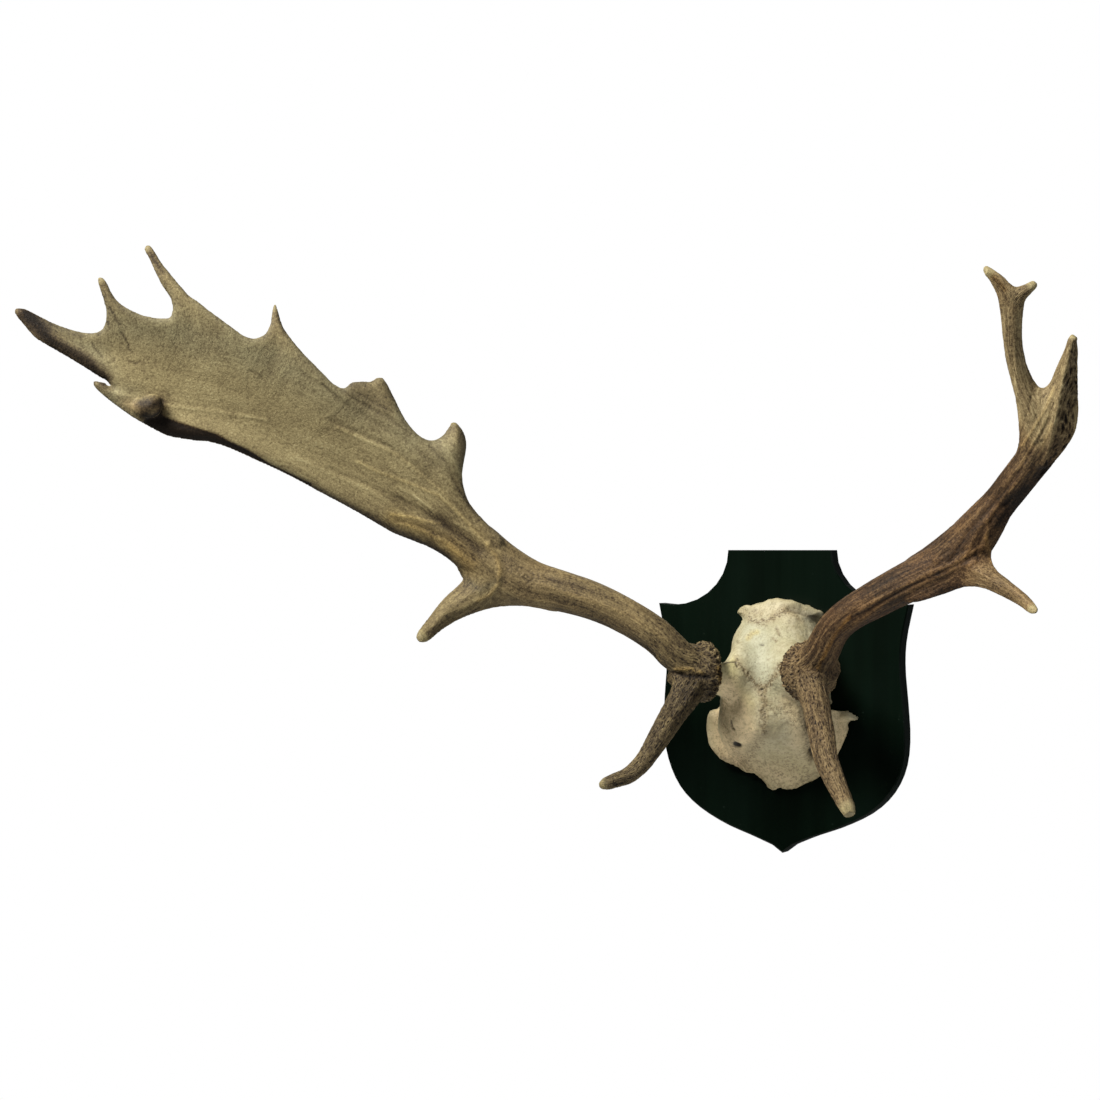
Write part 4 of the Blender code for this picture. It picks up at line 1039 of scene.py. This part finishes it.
# Where the points of the palm leave it and end, in mm, with half widths, for the grain that runs out on them
PALM_LINES = [
    [(-285, -215, 190, 26, 7), (-262, -200, 205, 22, 7), (-247, -190, 222, 12, 6), (-241, -184, 240, 4, 4)],
    [(-345, -236, 225, 30, 7), (-318, -226, 250, 24, 7), (-306, -218, 268, 16, 5), (-303, -216, 276, 12, 4)],
    [(-400, -262, 262, 32, 7), (-382, -258, 292, 20, 6), (-374, -256, 312, 9, 5), (-373, -256, 338, 3, 3)],
    [(-460, -290, 280, 30, 7), (-442, -290, 325, 18, 6), (-452, -293, 355, 7, 5), (-470, -300, 388, 3, 3)],
    [(-490, -305, 290, 24, 7), (-494, -313, 325, 12, 6), (-499, -317, 345, 5, 4), (-505, -320, 360, 2.5, 2.5)],
    [(-500, -312, 285, 22, 7), (-528, -328, 302, 14, 8), (-552, -337, 318, 8, 7), (-574, -338, 333, 4, 5)],
    [(-470, -298, 258, 14, 7), (-488, -309, 258, 8, 6), (-500, -316, 266, 5, 4), (-510, -321, 274, 2.5, 2.5)],
]
PALM_MIDDLE = [(-195, -155, 110, 22, 16), (-235, -172, 138, 20, 12), (-249, -182, 158.5, 29, 10),
               (-270, -196, 179.5, 40, 8), (-292, -208, 198, 45, 7), (-319, -222, 217, 47, 7),
               (-350, -236, 234.5, 47, 7), (-381, -252, 254, 48, 7), (-410, -268, 267, 51, 7),
               (-440, -283, 273, 49, 7), (-470, -296, 284, 44, 7), (-490, -307, 287, 34, 7)]

# Each stem with rows of its looks, and how many mm of its end are worn smooth
PALM_LOOKS = [(0.0, 0.0, 0.57, 0.0), (0.6, 0.05, 0.50, 0.0), (1.0, 0.1, 0.42, 0.3)]
left_stems = [
    (Stem(LEFT_BEAM[:8] + PALM_MIDDLE[1:], BEAM_FACING),
     [(0.0, 1.0, 0.13, 0.15), (0.07, 0.6, 0.31, 0.2), (0.15, 0.2, 0.39, 0.3), (0.30, 0.15, 0.35, 0.3),
      (0.42, 0.15, 0.42, 0.15), (0.5, 0.1, 0.50, 0.0), (0.65, 0.0, 0.58, 0.0), (1.0, 0.0, 0.58, 0.0)], 0),
    (Stem(LEFT_BROW, BROW_FACING), [(0.0, 1.0, 0.13, 0.1), (0.4, 1.0, 0.13, 0.1), (1.0, 0.6, 0.22, 0.1)], 8),
    (Stem(LEFT_TREZ, BEAM_FACING), [(0.0, 0.2, 0.43, 0.15), (1.0, 0.15, 0.35, 0.0)], 6)]
left_stems += [(Stem(rows, PALM_FACING), PALM_LOOKS, worn)
               for rows, worn in zip(PALM_LINES, (6, 0, 7, 6, 6, 0, 3))]
left_bodies = [Stem(LEFT_BEAM, BEAM_FACING).body(), left_stems[1][0].body(), left_stems[2][0].body(share=0.9),
               coronet_stem(-1).body(48), flattened(PALM_OUTLINE, PALM_MARKS, 3, palm_half, dish=6.0),
               flattened(FORK_OUTLINE, FORK_MARKS, 2, fork_half),
               flattened(STUB_OUTLINE, STUB_MARKS, 1, stub_half)]
# Each fork that is filled out, with its place and its reach, in mm; then small pushes of the outline
LEFT_FORKS = [((-215, -158, 110), 42), ((-56, -112, 22), 34), ((-235, -175, 125), 35)]
LEFT_NUDGES = [(36, 336, -1, 1.5, 14), (147, 250, -1.5, 0, 5), (164, 289, -1.5, 0, 10),
               (189, 296, -1, 1, 8), (371, 380, 0, 2, 5), (659, 664, 0, 1.5, 8), (104, 384, 0, -2, 4)]
PALM_BAND = [(105, 320), (170, 330), (236, 345), (300, 372), (350, 400), (440, 450)]
# Lines over the picture: their width, the mm that they stand out, then how dark, how gold and how much paler;
# some of the dark ones are painted shade, each noted where it stands
HORN_LOOKS = ("dark", "gold", "pale")
LEFT_LINES = [
    ([(487, 545), (496, 556), (500, 570), (498, 584), (490, 595), (478, 601)], 2.2, 0.9, 0, 0.3, 0.12),
    ([(493, 545), (503, 557), (507, 571), (504, 586)], 3, -0.5, 0.06),
    ([(439, 520), (458, 533), (479, 549)], 5, -0.6, 0.1),
    ([(300, 372), (350, 408), (405, 440), (452, 478), (492, 532)], 2.6, -0.5, 0.06),
    ([(330, 420), (390, 447), (440, 487), (486, 540)], 1.8, -0.5, 0.1),
    ([(338, 428), (398, 455), (444, 493), (482, 543)], 1.6, 0.5, 0, 0.1, 0.1),
    ([(358, 462), (378, 472), (406, 482), (438, 495), (468, 522), (488, 545)], 1.5, 0.5, 0, 0.2, 0.13),
    ([(394, 500), (412, 508), (443, 523), (463, 538), (478, 552)], 6.5, -0.5, 0.13),
    ([(391, 514), (412, 517), (440, 524)], 1.4, 0.5, 0, 0.25, 0.18),
    ([(398, 487), (416, 497), (432, 509)], 1.4, 0.5, 0, 0, 0.15),
    ([(453, 522), (472, 532), (489, 543)], 1.3, 0.5, 0, 0, 0.17),
    ([(396, 520), (430, 530), (452, 541), (474, 560)], 2, -0.5, 0.13),
    ([(405, 524), (428, 533), (446, 544), (466, 560)], 1.6, 0.4, 0, 0.1, 0.08),
    ([(330, 468), (385, 492), (425, 512), (455, 535)], 1.8, -0.4, 0.08),
    ([(294, 456), (334, 476), (364, 488), (395, 506)], 1.5, 0.3, 0, 0, 0.07),
    ([(342, 391), (362, 404), (390, 418), (410, 434)], 1.8, -0.5, 0.12),
    ([(352, 390), (372, 401), (392, 412)], 1.4, -0.4, 0.1),
    ([(430, 446), (446, 462), (458, 488), (476, 516)], 1.8, -0.5, 0.12),
    ([(442, 440), (454, 460), (466, 486), (482, 512)], 1.5, 0.4, 0, 0, 0.08),
    ([(392, 518), (420, 528), (446, 543), (470, 562)], 9, 0.2, 0.03, 0.4),
    ([(477, 527), (488, 540), (500, 553)], 1.5, 0.5, 0, 0.1, 0.12),
    ([(458, 584), (470, 588)], 7, -0.3, 0.12),
    ([(540, 584), (590, 600), (632, 616), (668, 642)], 2.2, 0.7, 0, 0.1, 0.07),
    ([(545, 577), (600, 593), (645, 614), (680, 645)], 2.4, -0.7, 0.08),
    ([(520, 590), (570, 604), (615, 622), (655, 655)], 2.4, -0.6, 0.08),
    ([(524, 556), (570, 575), (620, 598), (664, 628)], 2, 0.5, 0, 0, 0.04),
    ([(673, 673), (690, 676), (708, 677)], 2, -1.6, 0.3),
    ([(676, 669), (690, 669), (703, 673)], 2, 1.2, 0, 0.6, 0.16),
    ([(110, 308), (115, 316), (116, 321), (121, 325)], 0.9, -0.5, 0.3),
    ([(108, 322), (110, 329)], 1.2, -0.4, 0.2),
    ([(121, 332), (126, 339), (129, 345), (128, 349), (134, 353)], 0.9, -0.5, 0.32),
    ([(92, 342), (95, 349), (103, 357)], 1, -0.4, 0.26),
    ([(109, 363), (113, 361), (115, 358)], 0.9, -0.3, 0.2),
    ([(129, 361), (136, 364), (140, 361)], 0.9, -0.3, 0.2),
    ([(250, 371), (258, 374), (262, 379)], 1.4, -0.5, 0.15),
    ([(322, 384), (330, 391), (341, 398)], 0.9, -0.5, 0.22),
    ([(163, 405), (210, 411), (268, 420)], 1.6, 0.4, 0, 0, 0.08),
    ([(27, 315), (40, 329), (54, 344), (70, 352.5), (86, 361.5), (104, 379)], 7.5, -0.6, 0.54),
    ([(24, 313), (50, 325), (80, 337)], 4, 0, 0.12),
    ([(152, 256), (157, 264), (163, 273)], 2.2, -0.4, 0.24),
    # Painted shade on the third point's right side
    ([(280, 314), (285, 330)], 2.5, 0, 0.2),
    # On the stub, its right edge, its lower middle and the place under it are darker: painted shade and shadow
    ([(161, 400), (161.5, 406), (159.5, 413)], 1.8, 0, 0.28),
    ([(143, 405), (151, 403), (159, 403)], 8, 0, 0.44),
    ([(144, 416), (152, 418), (159, 415)], 4, 0, 0.55),
    ([(719, 668), (722, 682)], 3, 0, 0, 1, 0.08),
    ([(97, 383), (106, 389), (120, 395), (140, 399)], 1.8, 0.4, 0, 0, 0.08),
    # Along the palm's lower edge, the beam's underside and the fork's lower edge: painted shade
    ([(310, 486), (355, 510), (413, 540), (446, 557)], 4.5, 0, 0.3),
    ([(560, 612), (600, 625), (640, 648), (662, 668)], 5, 0, 0.16),
    ([(418, 636), (440, 631), (470, 615), (500, 608)], 4, 0, 0.14),
    ([(352, 378), (378, 393), (402, 396), (424, 384)], 12, 0, 0.13),
    ([(446, 390), (455, 402), (461, 430), (462, 455)], 6, 0, 0.12),
    ([(452, 382), (454, 392), (458, 401)], 1.6, 0.5, 0, 0, 0.12),
    (PALM_BAND, 20, 0, 0.04),
]
# Along the palm's band, and over its end point and the hooked one, the antler is greyer, and under them and
# on the stub redder; under the palm's rim that red goes with painted shade. A whorl of fine rings lies in
# the crook of the fork: its middle, how flat it is, its reach and how close its rings are.
END_GREY = [(30, 316), (60, 335), (95, 355), (112, 392), (140, 404)]
END_RED = [(24, 312), (40, 332), (62, 350), (86, 364), (104, 380)]
STUB_RED = [(128, 404), (142, 410), (156, 407)]
WHORL, WHORL_FLAT, WHORL_REACH, WHORL_RINGS = (526, 577), 1.25, 9, 1.3
# The palm's lower edge is a thick rim, and its underside, within this outline, turns away from the light:
# it is set back, and darkened and reddened as painted shade
UNDER_RIM = [(147, 419), (154, 416.5), (160, 414.5), (165, 417), (181, 423), (201, 429.6), (218, 435),
             (229, 441.5), (249, 451), (270, 465), (310, 484), (310, 500), (240, 470), (150, 450),
             (140, 425)]
# The horn's shades from the darkest to the palest, and the two of its worn ends
LEFT_SHADES = [(0.010, 0.007, 0.004), (0.050, 0.036, 0.019), (0.155, 0.119, 0.057), (0.30, 0.243, 0.118),
               (0.50, 0.435, 0.24)]
LEFT_TIPS = ((0.18, 0.145, 0.066), (0.36, 0.30, 0.15))

left_antler, left_points, left_ways, left_relief, left_marks = antler(
    "left_antler", left_stems, left_bodies, LEFT_FORKS, LEFT_NUDGES, side=-1, grain=1.36, seed=100)
left_spots, left_facing = seen(left_points), towards_camera(left_points, left_ways)
left_relief += marked(left_spots, left_facing, left_marks, HORN_LOOKS, LEFT_LINES)
under_rim = patch(left_spots, left_facing, UNDER_RIM, soft=1.6)
# Painted shade on the rim's underside, darker and redder; the end point and the stub are redder of their own
left_marks["dark"] += 0.70 * under_rim
left_marks["red"] += (0.8 * under_rim + 0.5 * stroke(left_spots, left_facing, END_RED, 9.0)
                      + 0.5 * stroke(left_spots, left_facing, STUB_RED, 9.0))
whorl_far = np.hypot(left_spots[:, 0] - WHORL[0], (left_spots[:, 1] - WHORL[1]) * WHORL_FLAT)
whorl = left_facing * np.exp(-(whorl_far / WHORL_REACH)**2) * np.cos(whorl_far * WHORL_RINGS)
left_relief += 0.5 * whorl - 1.2 * under_rim
left_marks["pale"] += 0.09 * whorl
# All round the palm's outline it is darker, painted shade where it rounds away, and greyer of its own
at_rim = np.exp(-(to_line(left_spots, PALM_OUTLINE)[0] / PALM_RIM)**2)
left_marks["dark"] += 0.10 * at_rim
left_marks["grey"] = (0.7 * stroke(left_spots, left_facing, PALM_BAND, 24.0) + 0.6 * at_rim
                      + 0.8 * stroke(left_spots, left_facing, END_GREY, 13.0))
put_points(left_antler, left_points + left_ways * left_relief[:, None])
hold(left_antler, **left_marks)
left_antler.data.shade_smooth()
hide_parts("left_beam", "left_brow_tine", "left_trez_tine", "left_palm")
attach(left_antler, "root")
left_antler.data.materials.append(horn_finish("left_antler", LEFT_SHADES, LEFT_TIPS, 0.0))


# The right antler, of the same stuff but redder: a beam with a brow tine and a trez tine, a narrow crown
# with a sharp keel towards the viewer, and one long upright tine that ends in two prongs.
RIGHT_BEAM = [(47, -95, 30, 18, 18), (54, -103, 36, 17, 18), (64, -114, 46, 15, 16),
              (78, -127, 65, 14, 14.5), (94, -134, 78, 14.2, 15), (118, -140, 91, 15.4, 15.5),
              (140, -144, 102, 16.4, 15.5), (162, -147, 112, 17.8, 15.5), (182, -150, 122, 19.5, 15.5),
              (201, -154, 138, 19, 15), (216, -159, 154, 16, 14), (232, -165, 173, 13.6, 13),
              (247, -175, 190, 14.5, 12.5), (260, -184, 205, 17.5, 12.5), (272, -193, 222, 20, 12),
              (277, -200, 240, 20, 11)]
RIGHT_BROW = [(54, -107, 33, 9, 9), (57, -117, 14, 12.6, 12.6), (64, -130, 3, 11.6, 11.6),
              (70, -142, -9, 11.2, 11.2), (76, -153, -21, 10.8, 10.8), (81, -163, -33, 10.4, 10.4),
              (87, -172, -44, 9.8, 9.8), (95, -180, -56, 8.8, 8.8), (103, -187, -68, 7.6, 7.6),
              (109, -192, -77, 6.4, 6.4), (112, -195, -83, 4.6, 4.6)]
RIGHT_TREZ = [(192, -151, 127, 12, 9), (204, -152, 117, 12.6, 11.5), (215, -158, 111, 10.2, 10),
              (226, -165, 107, 7.4, 7.6), (236, -172, 102, 6.1, 6.4), (246, -179, 97, 5.3, 5.5),
              (255, -186, 91, 4.4, 4.6), (261, -190, 86, 3.6, 3.8), (264, -193, 83, 2.6, 2.8)]
RIGHT_TOP = [(272, -196, 222, 13, 10), (266, -204, 243, 11, 9), (260, -208, 256, 9.8, 8.8),
             (257, -212, 268, 8.5, 8.4), (255, -218, 282, 7.6, 7.9), (254, -223, 293, 7.4, 7.7),
             (255, -228, 305, 7.4, 7.4), (255, -232, 316, 8, 7), (256, -235, 325, 8, 6.4),
             (255, -237, 331, 6, 5)]
LEFT_PRONG = [(256, -235, 322, 6, 5.5), (250, -239, 335, 5.6, 4.8), (243, -242, 344, 4.2, 4),
              (237, -245, 350, 2.8, 2.9)]
RIGHT_PRONG = [(256, -235, 324, 6, 5.5), (264, -238, 333, 4.4, 4.4), (270, -238, 337, 3.2, 3.4),
               (274, -238, 339, 2.4, 2.5)]
CROWN_TIP = [(274, -198, 232, 12, 11), (282, -204, 250, 11, 11), (290, -208, 264, 9.5, 9.5),
             (295, -211, 275, 8, 8), (298, -214, 285, 6.4, 6.5), (300, -217, 293, 4.2, 4.6),
             (301, -219, 299, 2.6, 2.8)]
UPPER_OUTLINE = [(890, 586), (893, 575), (903, 564.5), (911, 557.5), (920, 551.5), (932, 542.7),
                 (947, 530.5), (957, 521.5), (972, 507), (988, 491), (1000, 475), (1012.5, 458.7),
                 (1017.5, 450.5), (1019.8, 437), (1019, 417.6), (1016.2, 398.5), (1011.4, 379.3),
                 (1006.6, 360), (1003.8, 341), (1001.8, 319.4), (999, 300.3), (994.7, 288.3),
                 (988.7, 277.5), (984.2, 271), (984.5, 267.8), (988, 267), (1001.8, 276.3), (1009, 283.5),
                 (1016.2, 287.6), (1025.8, 284.7), (1032, 281.6), (1036, 283), (1036, 287),
                 (1029.4, 294.3), (1024.6, 300.3), (1022.4, 312.3), (1021.7, 329), (1022.7, 345.8),
                 (1025.8, 362.5), (1031.8, 378), (1038, 385.4), (1046, 386), (1052, 378), (1059.3, 362.5),
                 (1066.5, 347), (1070.6, 337), (1073, 335), (1074.6, 338), (1076, 350.6), (1077, 369.7),
                 (1077.7, 393.7), (1077.5, 412.8), (1075, 429.6), (1069, 441.6), (1059, 455.5),
                 (1050, 466.5), (1037.5, 482), (1025, 497.5), (1012.5, 513), (1003.5, 525.5),
                 (996.5, 536.5), (991.5, 547), (990.3, 555), (990.8, 561), (994, 567.5), (1000, 574),
                 (1009.5, 581.5), (1019, 589.5), (1028, 597), (1034.5, 605), (1036.8, 610), (1033, 613),
                 (1028, 611.5), (1019, 605), (1006.5, 598), (994, 592), (984.5, 588), (975.5, 586),
                 (966, 586), (956.5, 588.5), (944, 593), (926, 598.4), (913, 601.2), (901, 599)]
UPPER_MARKS = [row[:3] for row in (
    *RIGHT_BEAM[5:], (281, -204, 250), (294, -211, 275), (301, -219, 299), *RIGHT_TOP[1:8:2],
    LEFT_PRONG[2], RIGHT_PRONG[2], *RIGHT_TREZ[2::2])]
# In pixels, down or across: where the half thickness lessens up the tall tine and out on the trez tine
TOP_THINS, TREZ_ACROSS, TREZ_DOWN = (300, 440), (990, 1020), (545, 575)
KEEL_LINE = [(1044, 464), (1048.5, 452), (1053.5, 432), (1058.5, 409), (1063.5, 383), (1069, 358),
             (1072.5, 342)]


def upper_half(points, spots):
    """Half thickness of the upper right antler: that of the beam below, and less by soft steps up the tall
    tine and out on the trez tine."""
    return (4.4 + 8.0 * smooth(spots[:, 1], *TOP_THINS)
            - 6.5 * smooth(spots[:, 0], *TREZ_ACROSS) * smooth(spots[:, 1], *TREZ_DOWN))


right_stems = [
    (Stem(RIGHT_BEAM, BEAM_FACING),
     [(0.0, 0.8, 0.23, 0.3), (0.10, 0.5, 0.20, 0.6), (0.20, 0.17, 0.145, 1.0), (0.55, 0.17, 0.155, 1.0),
      (0.78, 0.17, 0.12, 0.9), (0.90, 0.2, 0.24, 0.5), (0.96, 0.2, 0.48, 0.3), (1.0, 0.2, 0.58, 0.1)], 0),
    (Stem(RIGHT_BROW, BROW_FACING), [(0.0, 1.0, 0.21, 0.3), (0.7, 0.9, 0.24, 0.3), (1.0, 0.7, 0.33, 0.3)], 14),
    (Stem(RIGHT_TREZ, BEAM_FACING), [(0.0, 0.3, 0.24, 0.9), (0.35, 0.3, 0.38, 0.6), (1.0, 0.2, 0.46, 0.5)], 8),
    (Stem(RIGHT_TOP, BEAM_FACING), [(0.0, 0.3, 0.50, 0.1), (1.0, 0.3, 0.44, 0.1)], 0),
    (Stem(LEFT_PRONG, BEAM_FACING), [(0.0, 0.35, 0.40, 0.4), (1.0, 0.2, 0.42, 0.2)], 7),
    (Stem(RIGHT_PRONG, BEAM_FACING), [(0.0, 0.35, 0.40, 0.2), (1.0, 0.2, 0.42, 0.1)], 7),
    (Stem(CROWN_TIP, BEAM_FACING), [(0.0, 0.3, 0.52, 0.1), (1.0, 0.3, 0.40, 0.1)], 2)]
# The round beam fades out inside the flattened body above it, as the tines do at a share of their size
ROUND_BEAM = RIGHT_BEAM[:11] + [(236, -168, 177, 10.0, 9.0), (250, -177, 194, 7.0, 5.0)]
right_bodies = [Stem(ROUND_BEAM, BEAM_FACING).body(),
                *(stem.body(share=share)
                  for (stem, *_), share in zip(right_stems[1:], (1.0, 0.8, 0.9, 0.85, 0.85, 0.8))),
                coronet_stem(1).body(48), flattened(UPPER_OUTLINE, UPPER_MARKS, 3, upper_half)]
RIGHT_FORKS = [((62, -112, 28), 34), ((128, -142, 96), 36), ((205, -155, 125), 20), ((256, -235, 322), 10)]
RIGHT_NUDGES = [(1048, 379, 0.5, 1.5, 6), (1042, 385, 0, 2.0, 5)]
RIGHT_LINES = [
    ([(860, 610), (905, 585), (950, 565), (985, 545), (988, 520)], 2.6, 0.9, 0, 0.2, 0.12),
    ([(845, 632), (890, 600), (935, 577), (975, 562)], 2.4, 0.7, 0, 0.2, 0.08),
    ([(852, 618), (900, 592), (945, 571)], 2.2, -0.8, 0.12),
    ([(935, 560), (955, 535), (985, 505), (1015, 470)], 2.2, 0.8, 0, 0.1, 0.1),
    ([(950, 562), (966, 535), (990, 507), (1022, 470)], 2.4, -0.9, 0.12),
    ([(966, 556), (978, 530), (1002, 500), (1030, 470)], 2, 0.8, 0, 0.2, 0.1),
    ([(975, 555), (986, 528), (1010, 498)], 2, -0.6, 0.1),
    ([(986, 537), (988, 548), (992, 561)], 2.4, 0, 0, 0.3, 0.2),
    # These three darken the lower edges of the crown, the beam and the trez tine: painted shade
    ([(1000, 522), (1020, 497), (1045, 470)], 6, 0, 0.2),
    ([(855, 645), (890, 618), (930, 602), (960, 590)], 8, 0, 0.2),
    ([(990, 584), (1010, 596)], 4, 0, 0.06),
    ([(1022, 446), (1034, 428), (1046, 408), (1054, 388)], 1.5, 0.6, 0, 0.3, 0.14),
    ([(1018, 470), (1028, 452), (1040, 432), (1050, 412)], 1.5, 0.6, 0, 0.2, 0.14),
    ([(1028, 484), (1036, 466), (1044, 442), (1052, 424)], 1.5, 0.5, 0, 0.2, 0.12),
    ([(1026, 462), (1036, 444), (1046, 424), (1054, 404)], 1.6, -0.6, 0.07),
    ([(1012, 482), (1023, 464), (1032, 446)], 1.6, -0.5, 0.06),
    ([(1021, 432), (1027, 412), (1032, 396)], 1.5, -0.4, 0.1),
    ([(1014, 376), (1011, 345), (1010, 315)], 1.5, -0.4, 0.1),
    ([(1017, 400), (1016, 370), (1014, 330)], 1.5, 0.4, 0, 0, 0.06),
    ([(1065, 415), (1068, 422)], 2, -0.8, 0.25),
    ([(1063, 428), (1069, 433)], 2, -0.8, 0.25),
    ([(1070, 404), (1072, 412)], 2, -0.8, 0.22),
    ([(990, 274), (998, 282), (1004, 289)], 2.5, 0, 0.12, 0.8),
    ([(818, 668), (826, 652), (836, 634), (850, 617)], 2.2, 0.5, 0, 1, 0.14),
    ([(848, 641), (878, 619), (905, 606)], 2.4, 0.4, 0, 0.8, 0.06),
    ([(848, 809), (850, 816)], 3, -0.5, 0.25),
]
# Right of the keel a flat side falls away, full of pits, and darker, most in the pits: partly its own stain
# and partly painted shade
KEEL_SIDE = [(1038, 480), *KEEL_LINE, (1090, 336), (1090, 440), (1060, 480)]
RIGHT_SHADES = [(0.010, 0.007, 0.004), (0.052, 0.035, 0.018), (0.160, 0.118, 0.058), (0.31, 0.245, 0.125),
                (0.52, 0.45, 0.26)]
RIGHT_TIPS = ((0.25, 0.20, 0.09), (0.50, 0.43, 0.23))

right_antler, right_points, right_ways, right_relief, right_marks = antler(
    "right_antler", right_stems, right_bodies, RIGHT_FORKS, RIGHT_NUDGES, side=1, grain=0.95, seed=200)
right_spots, right_facing = seen(right_points), towards_camera(right_points, right_ways)
right_relief += marked(right_spots, right_facing, right_marks, HORN_LOOKS, RIGHT_LINES)
keel_side = patch(right_spots, right_facing, KEEL_SIDE, soft=1.2)
right_relief += (2.4 * stroke(right_spots, right_facing, KEEL_LINE, 4.5) - 1.2 * keel_side
                 - 1.2 * keel_side * right_marks["pit"])
# Partly stain and partly painted shade: the far side of the keel darker, most in its pits
right_marks["dark"] += keel_side * (0.08 + 0.42 * right_marks["pit"])
right_marks["pale"] += 0.16 * stroke(right_spots, right_facing, KEEL_LINE, 1.7)
put_points(right_antler, right_points + right_ways * right_relief[:, None])
hold(right_antler, **right_marks)
right_antler.data.shade_smooth()
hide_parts("right_beam", "right_brow_tine", "right_trez_tine", "right_crown", "right_top_tine")
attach(right_antler, "root")
right_antler.data.materials.append(horn_finish("right_antler", RIGHT_SHADES, RIGHT_TIPS, 0.20))
